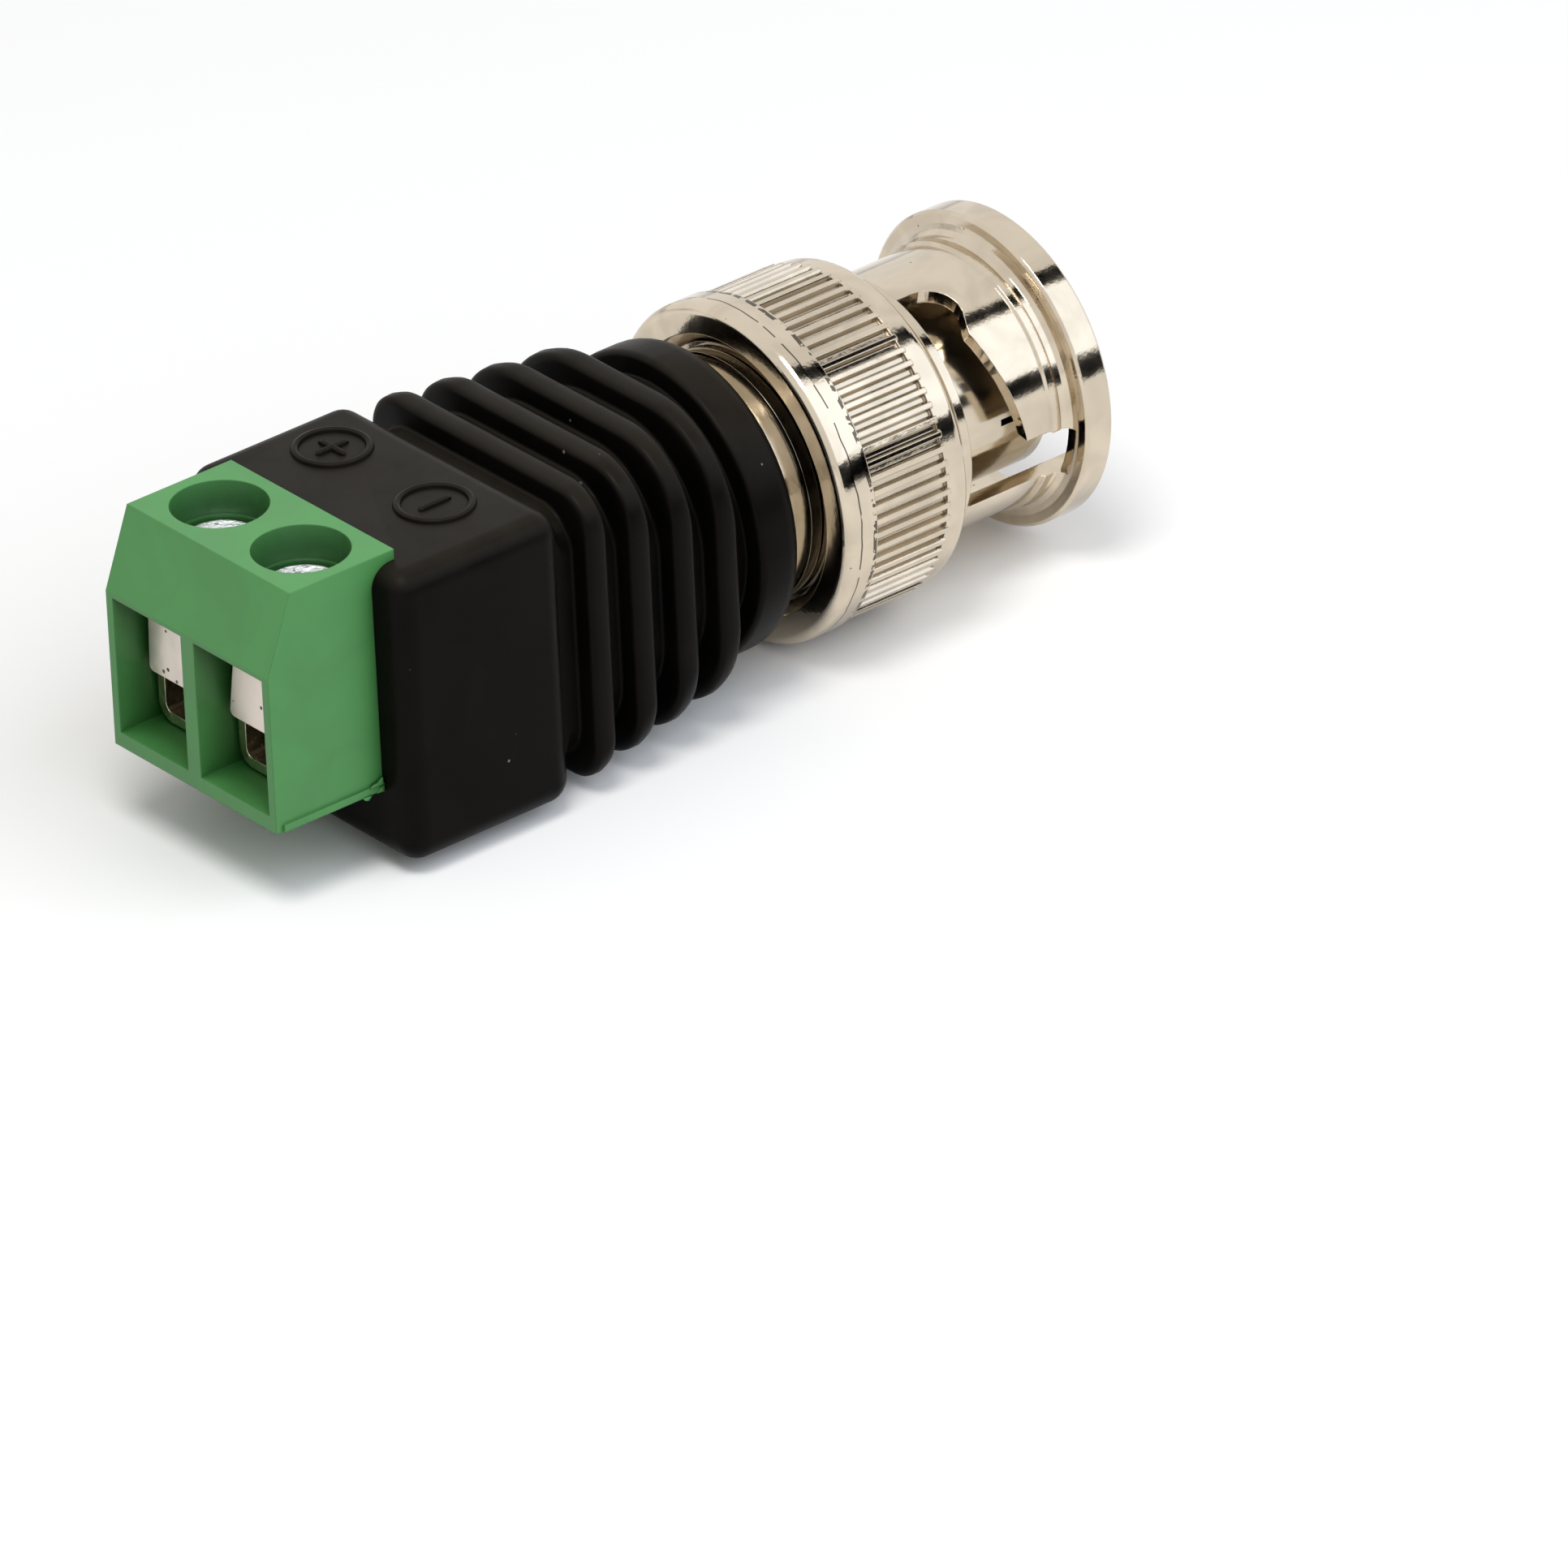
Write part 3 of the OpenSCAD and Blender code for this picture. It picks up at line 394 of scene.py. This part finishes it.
# The nut's casting marks, in millimetres: a row of pits behind the knurl, and the end ring's edge and inward slope
NUT_REAR = place["nut_x0"] / MM
PIT_ROW = NUT_REAR + 1.47
END_RING = NUT_REAR + 0.78
NUT_LINES = ((PIT_ROW, 0.09, 0.48, 0.26), (END_RING, 0.035, 0.42, 0.9))
NUT_SLOPE = (END_RING, 0.16)
# How far the screw heads are dished, in millimetres
SCREW_DISH = -0.5

MATERIALS = {
    # The green's crevices are painted towards a deep green as painted shade.
    "green_plastic": plastic(
        "green_plastic", linear(80, 145, 79), 0.42, 0.09, tone_change=0.06, grain=0.06, grain_strength=0.1,
        specular=0.4, crevice=(4.0, 1.0), deep=linear(24, 74, 22)),
    # The boot's upward faces get painted top light, a lighter dust-coloured tone.
    "boot_vinyl": plastic(
        "boot_vinyl", linear(14, 11, 9), 0.36, 0.06, tone_change=0.2, specks=(1.3, 0.09, linear(122, 116, 106)),
        grain=0.08, specular=0.05, top_light=(0.55, linear(46, 41, 33))),
    "zinc_plate": metal(
        "zinc_plate", linear(248, 252, 255), 0.26, 0.04, wave=3.0, pits=(0.3, 0.24, 0.38), crevice=None,
        grain=0.3, dome_mm=SCREW_DISH),
    "cage_plate": metal("cage_plate", linear(222, 208, 184), 0.24, 0.05, wave=1.2, crevice=None, grain=0.5),
    "tin_plate": metal("tin_plate", linear(232, 220, 212), 0.5, 0.05, wave=0.3, pits=(0.45, 0.12, 0.22)),
    "red_lead": plastic("red_lead", linear(170, 34, 28), 0.5, 0.05),
    "black_lead": plastic("black_lead", linear(24, 24, 24), 0.5, 0.05),
    "body_nickel": metal("body_nickel", linear(205, 193, 173), 0.14, 0.03),
    "spring_steel": metal("spring_steel", linear(190, 192, 196), 0.25, 0.02),
    "gasket_rubber": plastic("gasket_rubber", linear(112, 46, 18), 0.55, 0.05),
    "nut_nickel": metal(
        "nut_nickel", linear(208, 195, 175), 0.1, 0.07, wave=0.55, crevice=(0.8, 0.45), lines=NUT_LINES,
        slope=NUT_SLOPE),
    "insulator_white": plastic("insulator_white", linear(214, 212, 216), 0.4, 0.04, tone_change=0.03),
    "pin_gold": metal("pin_gold", linear(232, 178, 62), 0.16, 0.04),
}


def dress_nodes():
    for part in frame["record"]["subparts"]:
        mesh = nodes[part["node"]].data
        mesh.materials.clear()
        mesh.materials.append(MATERIALS[part["material_slot"]])


dress_nodes()


# Mesh tools
def join_rows(bm, rows, closed=False):
    """A skin over rows of points, each row a ring. The rows end in caps, or close on themselves."""
    rings = [[bm.verts.new(point) for point in row] for row in rows]
    pairs = list(zip(rings, rings[1:]))
    if closed:
        pairs.append((rings[-1], rings[0]))
    for a, b in pairs:
        for k in range(len(a)):
            m = (k + 1) % len(a)
            bm.faces.new((a[k], b[k], b[m], a[m]))
    if not closed:
        bm.faces.new(rings[0])
        bm.faces.new(list(reversed(rings[-1])))


def ring_angles(steps):
    return [2 * math.pi * k / steps for k in range(steps)]


def turns(angles):
    """Cosine and sine of each angle, given in degrees."""
    return [(math.cos(math.radians(a)), math.sin(math.radians(a))) for a in angles]


def mesh_object(name, build):
    mesh = bpy.data.meshes.new(name)
    bm = bmesh.new()
    build(bm)
    bmesh.ops.recalc_face_normals(bm, faces=bm.faces)
    bm.to_mesh(mesh)
    bm.free()
    thing = bpy.data.objects.new(name, mesh)
    bpy.context.scene.collection.objects.link(thing)
    return thing


def cut_away(thing, cutters):
    """Cuts solids out of a piece and drops them."""
    for cutter in cutters:
        cut = thing.modifiers.new("cut", "BOOLEAN")
        cut.operation = "DIFFERENCE"
        cut.solver = "EXACT"
        cut.object = cutter
    evaluated = thing.evaluated_get(bpy.context.evaluated_depsgraph_get())
    mesh = bpy.data.meshes.new_from_object(evaluated)
    thing.modifiers.clear()
    thing.data = mesh
    for cutter in cutters:
        bpy.data.objects.remove(cutter, do_unlink=True)


def at_mm(x, y, z):
    """A point given in millimetres from the block's wire face and the plug's axis."""
    return Vector((place["block_x0"] + x * MM, y * MM, place["axis_z"] + z * MM))


def box_between(name, low, high):
    def build(bm):
        made = bmesh.ops.create_cube(bm, size=1.0)
        for v in made["verts"]:
            v.co = Vector([l + (h - l) * (c + 0.5) for l, h, c in zip(low, high, v.co)])
    return mesh_object(name, build)


def rod_between(name, x0, x1, radius, steps=64):
    rows = [[at_mm(x, radius * math.cos(a), radius * math.sin(a)) for a in ring_angles(steps)] for x in (x0, x1)]
    return mesh_object(name, lambda bm: join_rows(bm, rows))


# The moulded boot. All its sizes are in millimetres, stations from the block's wire face
BOOT = {
    "front": 5.3, "square_length": 8.3, "half_width": 6.78, "top": 6.16, "bottom": -6.68, "corner": 1.0,
    "ribs": 4, "rib_pitch": 2.21, "rib_thick": 1.1, "rib_edge": 0.29, "rib_crown": 0.03,
    "groove": 0.95, "groove_fillet": 0.16, "groove_corner": 0.15,
    "rib_corner_first": 1.8, "rib_corner_last": 4.2,
    "cuff_radius": 6.6, "cuff_length": 2.3, "cuff_lead": 0.3, "cuff_fillet": 0.1,
    "end_radius": 5.6, "end_round": 0.95,
}
CORNER_STEPS = 16
LEAST_CORNER = 0.02
EDGE_ANGLES = (0, 22, 45, 68, 90)
FILLET_ANGLES = (0, 30, 60, 90)
FRONT_ANGLES = tuple(range(0, 91, 10))
END_ANGLES = tuple(range(0, 91, 9))
FRONT_INSET = 0.98
SMOOTH_LIMIT = math.radians(38)
# The stem that the boot is moulded round, and the foot along the block's sides
SPIGOT = {"start": 19.43, "end": 26.2, "radius": 3.62}
FOOT = {"out": 0.12, "height": 0.32}
BLOCK_HALF = 5.08
MOULD_GAP = 0.02


def rounded_section(x, half, top, bottom, corner):
    """The points of a rounded rectangle across the boot, the same number whatever its size."""
    corner = min(corner, half - LEAST_CORNER, (top - bottom) / 2 - LEAST_CORNER)
    corner = max(corner, LEAST_CORNER)
    points = []
    for turn, (y, z) in enumerate(((half - corner, top - corner), (-half + corner, top - corner),
                                   (-half + corner, bottom + corner), (half - corner, bottom + corner))):
        for step in range(CORNER_STEPS + 1):
            a = math.radians(90 * (turn + step / CORNER_STEPS))
            points.append(at_mm(x, y + corner * math.cos(a), z + corner * math.sin(a)))
    return points


def boot_envelope(index):
    """Half width, top, bottom and corner of the boot's outline at a rib number; whole numbers are crests."""
    share = (index + 0.5) / (BOOT["ribs"] + 0.5)
    half = BOOT["half_width"] + share * (BOOT["cuff_radius"] - BOOT["half_width"])
    top = BOOT["top"] + share * (BOOT["cuff_radius"] - BOOT["top"])
    bottom = BOOT["bottom"] + share * (-BOOT["cuff_radius"] - BOOT["bottom"])
    step = (BOOT["rib_corner_last"] - BOOT["rib_corner_first"]) / (BOOT["ribs"] - 1)
    return half, top, bottom, BOOT["rib_corner_first"] + step * index


def rib_profile():
    """One rib and the grooves beside it, as (station from the rib's front, inset)."""
    edge, fillet, deep, thick = BOOT["rib_edge"], BOOT["groove_fillet"], BOOT["groove"], BOOT["rib_thick"]
    front_fillet, rear_fillet = turns(reversed(FILLET_ANGLES)), turns(FILLET_ANGLES)
    front_edge, rear_edge = turns(EDGE_ANGLES), turns(reversed(EDGE_ANGLES))
    profile = [((thick - BOOT["rib_pitch"]) / 2, deep)]
    profile += [(-fillet + fillet * c, deep - fillet + fillet * s) for c, s in front_fillet]
    profile += [(edge - edge * c, edge - edge * s) for c, s in front_edge]
    profile.append((thick / 2, -BOOT["rib_crown"]))
    profile += [(thick - edge + edge * c, edge - edge * s) for c, s in rear_edge]
    profile += [(thick + fillet - fillet * c, deep - fillet + fillet * s) for c, s in rear_fillet]
    return profile


def square_sections():
    """The boot's square end, rounded at its front and rear."""
    front, corner = BOOT["front"], BOOT["corner"]
    rear = front + BOOT["square_length"]
    half, top, bottom = BOOT["half_width"], BOOT["top"], BOOT["bottom"]
    ends = [(front + corner - corner * c, s) for c, s in turns(FRONT_ANGLES)]
    ends += [(rear - corner + corner * c, s) for c, s in turns(reversed(FRONT_ANGLES))]
    for x, s in ends:
        inset = (corner - corner * s) * FRONT_INSET
        yield rounded_section(x, half - inset, top - inset, bottom + inset, corner - inset)


def rib_sections(rib_front):
    """The ribs and grooves behind the square end."""
    for rib in range(BOOT["ribs"]):
        for station, inset in rib_profile():
            x = rib_front + rib * BOOT["rib_pitch"] + station
            index = rib + (station - BOOT["rib_thick"] / 2) / BOOT["rib_pitch"]
            half, top, bottom, corner = boot_envelope(index)
            corner += inset / BOOT["groove"] * (rib + 1) * BOOT["groove_corner"]
            yield rounded_section(x, half - inset, top - inset, bottom + inset, corner)


def cuff_sections(cuff_x):
    """The round cuff at the boot's end, as stations and radii turned into sections."""
    radius, edge, fillet = BOOT["cuff_radius"], BOOT["rib_edge"], BOOT["cuff_fillet"]
    core = radius - BOOT["groove"]
    end_x, across = cuff_x + BOOT["cuff_length"], radius - BOOT["end_radius"]
    profile = [(cuff_x - BOOT["cuff_lead"], core)]
    profile += [(cuff_x - fillet + fillet * s, core + fillet - fillet * c) for c, s in turns(FILLET_ANGLES)]
    profile += [(cuff_x + edge - edge * c, radius - edge + edge * s) for c, s in turns(EDGE_ANGLES)]
    profile += [(end_x - BOOT["end_round"] * (1 - s), BOOT["end_radius"] + across * c) for c, s in turns(END_ANGLES)]
    for x, r in profile:
        yield rounded_section(x, r, r, -r, r)


def boot_sections():
    """Every section of the boot's skin from its front face to its end face."""
    rib_front = BOOT["front"] + BOOT["square_length"] + BOOT["rib_pitch"] - BOOT["rib_thick"]
    cuff_x = rib_front + BOOT["ribs"] * BOOT["rib_pitch"]
    return [*square_sections(), *rib_sections(rib_front), *cuff_sections(cuff_x)]


def soft_ring(bm, centre, radius, width, height, steps=56, sides=8):
    """A raised ring with a round back, sunk a little into the face it stands on."""
    def point(a, b):
        r = radius + width / 2 * math.cos(b)
        return centre + Vector((r * math.cos(a), r * math.sin(a), height * math.sin(b))) * MM
    join_rows(bm, [[point(a, b) for b in ring_angles(sides)] for a in ring_angles(steps)], closed=True)


def soft_bar(bm, centre, length, width, height, along, steps=14, sides=8):
    """A raised stroke with a round back and round ends."""
    least, squareness = 0.03, 6
    across = Vector((-along.y, along.x, 0))
    rows = []
    for k in range(steps + 1):
        t = -1 + 2 * k / steps
        swell = math.sqrt(max(0.0, 1 - abs(t) ** squareness)) * (1 - least) + least
        rows.append([
            centre + (along * (t * length / 2) + across * (width / 2 * swell * math.cos(b))
                      + Vector((0, 0, height * swell * math.sin(b)))) * MM
            for b in ring_angles(sides)])
    join_rows(bm, rows)


MARKS = {"station": 10.45, "shift": 0.5, "spread": 6.4, "radius": 1.49, "width": 0.36, "height": 0.17, "arm": 1.69}


def raised_signs(bm):
    """The two rings on the boot's top, with the plus and minus strokes in them."""
    width, height = MARKS["width"], MARKS["height"]
    for side in (-1, 1):
        centre = at_mm(MARKS["station"], MARKS["shift"] + side * MARKS["spread"] / 2, BOOT["top"])
        soft_ring(bm, centre, MARKS["radius"], width, height)
        soft_bar(bm, centre, MARKS["arm"], width, height, Vector((1, 0, 0)))
        if side > 0:
            soft_bar(bm, centre, MARKS["arm"], width, height, Vector((0, 1, 0)))


def make_boot():
    """The ribbed boot with its moulded roundings, open for the block and for the plug's spigot."""
    boot = mesh_object("moulded_boot", lambda bm: join_rows(bm, boot_sections()))
    block_low, block_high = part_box("block_housing")
    gap, out = MOULD_GAP * MM, FOOT["out"] * MM
    low = block_low + Vector((0, out - gap, -gap))
    high = block_high + Vector((gap, gap - out, MM))
    pocket = box_between("pocket", low, high)
    foot_low = Vector((low.x - MM, low.y - out, low.z))
    foot_high = Vector((high.x, high.y + out, low.z + FOOT["height"] * MM + 2 * gap))
    foot = box_between("foot", foot_low, foot_high)
    bore = rod_between("bore", SPIGOT["start"], SPIGOT["end"], SPIGOT["radius"])
    cut_away(boot, [pocket, foot, bore])
    signs = mesh_object("raised_signs", raised_signs)
    for piece in (boot, signs):
        piece.data.materials.clear()
        piece.data.materials.append(MATERIALS["boot_vinyl"])
        piece.data.shade_smooth()
        piece.data.set_sharp_from_angle(angle=SMOOTH_LIMIT)
        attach(piece, "adapter")
    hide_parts("boot")


make_boot()


# The contact lips, in millimetres: each is narrower at its top by its own lean, with a rounded lower corner
LIP = {"half_width": 1.8, "thick": 0.35, "corner": 0.24, "past": 0.4}
LIP_LEAN = {1: 0.14, -1: 0.5}
LIP_ANGLES = tuple(range(0, 91, 15))
STRIP_SHIFT = 2.54


def lip_cutter(low, high, side):
    """A prism that takes the leaning edge and the rounded corner off a contact lip."""
    half, corner, past = (LIP[k] * MM for k in ("half_width", "corner", "past"))
    centre, lean = side * STRIP_SHIFT * MM, LIP_LEAN[side] * MM
    outline = [(half + past, high.z + past), (half - lean, high.z + past), (half - lean, high.z)]
    outline += [(half - corner * (1 - c), low.z + corner * (1 - s)) for c, s in turns(LIP_ANGLES)]
    outline += [(half - corner, low.z - past), (half + past, low.z - past)]
    ends = (low.x - past, low.x + (LIP["thick"] + MOULD_GAP) * MM)
    rows = [[(x, centre + y, z) for y, z in outline] for x in ends]
    return mesh_object("lip_cutter", lambda bm: join_rows(bm, rows))


def make_lips():
    """Both contact strips with their lips as they were punched."""
    for side, node in ((1, "contact_strip_plus"), (-1, "contact_strip_minus")):
        low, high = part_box(node)
        lip = bpy.data.objects.new(node.replace("strip", "lip"), nodes[node].data.copy())
        bpy.context.scene.collection.objects.link(lip)
        cut_away(lip, [lip_cutter(low, high, side)])
        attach(lip, "adapter")
        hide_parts(node)


make_lips()

# The spring washer, in millimetres
WAVES = 3
WAVE_INNER = 4.38
WAVE_STRIP = 0.18
WAVE_STEPS = 96


def make_wave_spring():
    """The wave washer, a ring of steel strip in three waves."""
    low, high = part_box("wave_washer")
    inner, outer, strip = WAVE_INNER * MM, (high.z - low.z) / 2, WAVE_STRIP * MM
    swing = (high.x - low.x - strip) / 2
    rows = []
    for a in ring_angles(WAVE_STEPS):
        x = low.x + swing * (1 - math.cos(WAVES * a))
        rows.append([(x + up, r * math.cos(a), place["axis_z"] + r * math.sin(a))
                     for r, up in ((inner, 0), (outer, 0), (outer, strip), (inner, strip))])
    spring = mesh_object("wave_spring", lambda bm: join_rows(bm, rows, closed=True))
    spring.data.materials.append(MATERIALS["spring_steel"])
    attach(spring, "adapter")
    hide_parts("wave_washer")
    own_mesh(spring)


make_wave_spring()

# Thin flakes of flash left on the block's foot beside the boot, as corners along and up its side, in millimetres
FLASH = (((4.55, -3.3), (5.22, -3.3), (5.24, -3.02), (5.0, -3.16), (4.8, -3.2)),
         ((4.9, -3.62), (5.26, -3.62), (5.28, -3.36), (5.1, -3.42)),
         ((4.2, -3.58), (4.62, -3.6), (4.5, -3.78), (4.3, -3.7)))
FLASH_THICK = 0.07
FLASH_LEAST = 0.4


def make_flash():
    """The flakes of green flash, with uneven outer faces."""
    side = -(BLOCK_HALF + FOOT["out"])
    outward = [FLASH_THICK * (FLASH_LEAST + (1 - FLASH_LEAST) * odd) for odd in (0, 1)]

    def build(bm):
        for corners in FLASH:
            join_rows(bm, [[at_mm(x, side + FLASH_THICK, z) for x, z in corners],
                           [at_mm(x, side - outward[k % 2], z) for k, (x, z) in enumerate(corners)]])
    flash = mesh_object("moulding_flash", build)
    flash.data.materials.append(MATERIALS["green_plastic"])
    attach(flash, "adapter")


make_flash()


def place_camera():
    """Puts the camera where the photograph was taken from. The rows are its right, down and forward directions."""
    turn = Vector(CAMERA_TURN)
    rows = Matrix.Rotation(turn.length, 3, turn.normalized())
    centre = Vector((place["block_x0"], 0.0, place["axis_z"]))
    eye = centre - (rows.transposed() @ Vector(CAMERA_SHIFT)) * MM
    turned = Matrix((rows[0], -rows[1], -rows[2])).transposed()
    data = bpy.data.cameras.new("camera")
    data.sensor_width = LENS_SENSOR
    data.lens = FOCAL_PIXELS / PICTURE_PIXELS * LENS_SENSOR
    data.clip_start, data.clip_end = CLIP_RANGE
    camera = bpy.data.objects.new("camera", data)
    camera.matrix_world = Matrix.Translation(eye) @ turned.to_4x4()
    bpy.context.scene.collection.objects.link(camera)
    bpy.context.scene.camera = camera


place_camera()


def direction(azimuth, elevation):
    """Unit vector; azimuth 0 is +X, 90 is +Y."""
    a, e = math.radians(azimuth), math.radians(elevation)
    return Vector((math.cos(e) * math.cos(a), math.cos(e) * math.sin(a), math.sin(e)))


def sheet_object(name, corners, material):
    """One flat four-cornered sheet of the studio."""
    mesh = bpy.data.meshes.new(name)
    mesh.from_pydata(corners, [], [tuple(range(len(corners)))])
    mesh.materials.append(material)
    return bpy.data.objects.new(name, mesh)


def background_ray(tree):
    """1 for the rays that should see the plain background: camera, glossy and transmission rays."""
    path = add(tree, "ShaderNodeLightPath")
    seen = maths(tree, "MAXIMUM", path.outputs["Is Camera Ray"], path.outputs["Is Glossy Ray"])
    return maths(tree, "MAXIMUM", seen, path.outputs["Is Transmission Ray"])


def matt_material(name, roughness):
    material, tree, shader = blank_material(name)
    shader.inputs["Roughness"].default_value = roughness
    shader.inputs["Specular IOR Level"].default_value = 0.0
    return material, tree, shader


def make_floor():
    """White floor that keeps a light shadow and throws little light back up."""
    material, tree, shader = matt_material("floor_white", 0.9)
    tree.links.new(mix_colour(tree, background_ray(tree), FLOOR_BOUNCE, FLOOR_WHITE), shader.inputs["Base Color"])
    half = FLOOR_HALF
    return sheet_object("floor", [(-half, -half, 0), (half, -half, 0), (half, half, 0), (-half, half, 0)], material)


def glow_material(name, colour, strength):
    material, tree, shader = matt_material(name, 1.0)
    shader.inputs["Base Color"].default_value = BLACK
    shader.inputs["Emission Color"].default_value = colour
    shader.inputs["Emission Strength"].default_value = strength
    return material


def strip_corners(start, end):
    """A long strip beside the adapter between two angles round its axis: 90 is above, 180 is -Y."""
    middle = math.radians((start + end) / 2)
    half = CARD_AWAY * math.tan(math.radians((end - start) / 2))
    out = Vector((0, math.cos(middle), math.sin(middle)))
    across = Vector((0, -math.sin(middle), math.cos(middle)))
    centre = Vector((0, 0, place["axis_z"])) + out * CARD_AWAY
    low, high = CARD_ENDS
    return [centre + across * side + Vector((x, 0, 0)) for side, x in
            ((-half, low), (-half, high), (half, high), (half, low))]


def make_cards():
    """The soft panel, and the dark cards that edge it and show only in polished faces."""
    panel = sheet_object("soft_panel", strip_corners(*PANEL_ANGLES), glow_material("panel_light", PANEL_COLOUR, 1.0))
    dark = glow_material("card_black", BLACK, 0.0)
    cards = [sheet_object("dark_card_%d" % (index + 1), strip_corners(*angles), dark)
             for index, angles in enumerate(CARD_ANGLES)]
    for sheet in [panel] + cards:
        sheet.visible_camera = False
        sheet.visible_shadow = False
    for card in cards:
        card.visible_diffuse = False
    return [panel] + cards


def light_world():
    """White surroundings for what sees them, and a softer level of light from all round."""
    world = bpy.data.worlds.new("studio")
    bpy.context.scene.world = world
    world.use_nodes = True
    tree = world.node_tree
    tree.nodes.clear()
    soft = add(tree, "ShaderNodeBackground", {"Color": WHITE, "Strength": SOFT_LEVEL})
    white = add(tree, "ShaderNodeBackground", {"Color": WHITE, "Strength": 1.0})
    chooser = add(tree, "ShaderNodeMixShader")
    out = add(tree, "ShaderNodeOutputWorld")
    for source, socket in ((background_ray(tree), chooser.inputs[0]), (soft.outputs[0], chooser.inputs[1]),
                           (white.outputs[0], chooser.inputs[2]), (chooser.outputs[0], out.inputs[0])):
        tree.links.new(source, socket)


def add_key_light():
    towards = direction(*KEY_FROM)
    data = bpy.data.lights.new("key_light", "AREA")
    data.shape = "DISK"
    data.size = KEY_SIZE
    data.energy = KEY_POWER
    lamp = bpy.data.objects.new("key_light", data)
    spot = Vector((0, 0, place["axis_z"])) + towards * KEY_AWAY
    lamp.matrix_world = Matrix.Translation(spot) @ towards.to_track_quat("Z", "Y").to_matrix().to_4x4()
    bpy.context.scene.collection.objects.link(lamp)


light_world()
add_key_light()
for sheet in [make_floor()] + make_cards():
    bpy.context.scene.collection.objects.link(sheet)

bpy.context.scene.view_settings.view_transform = "Standard"
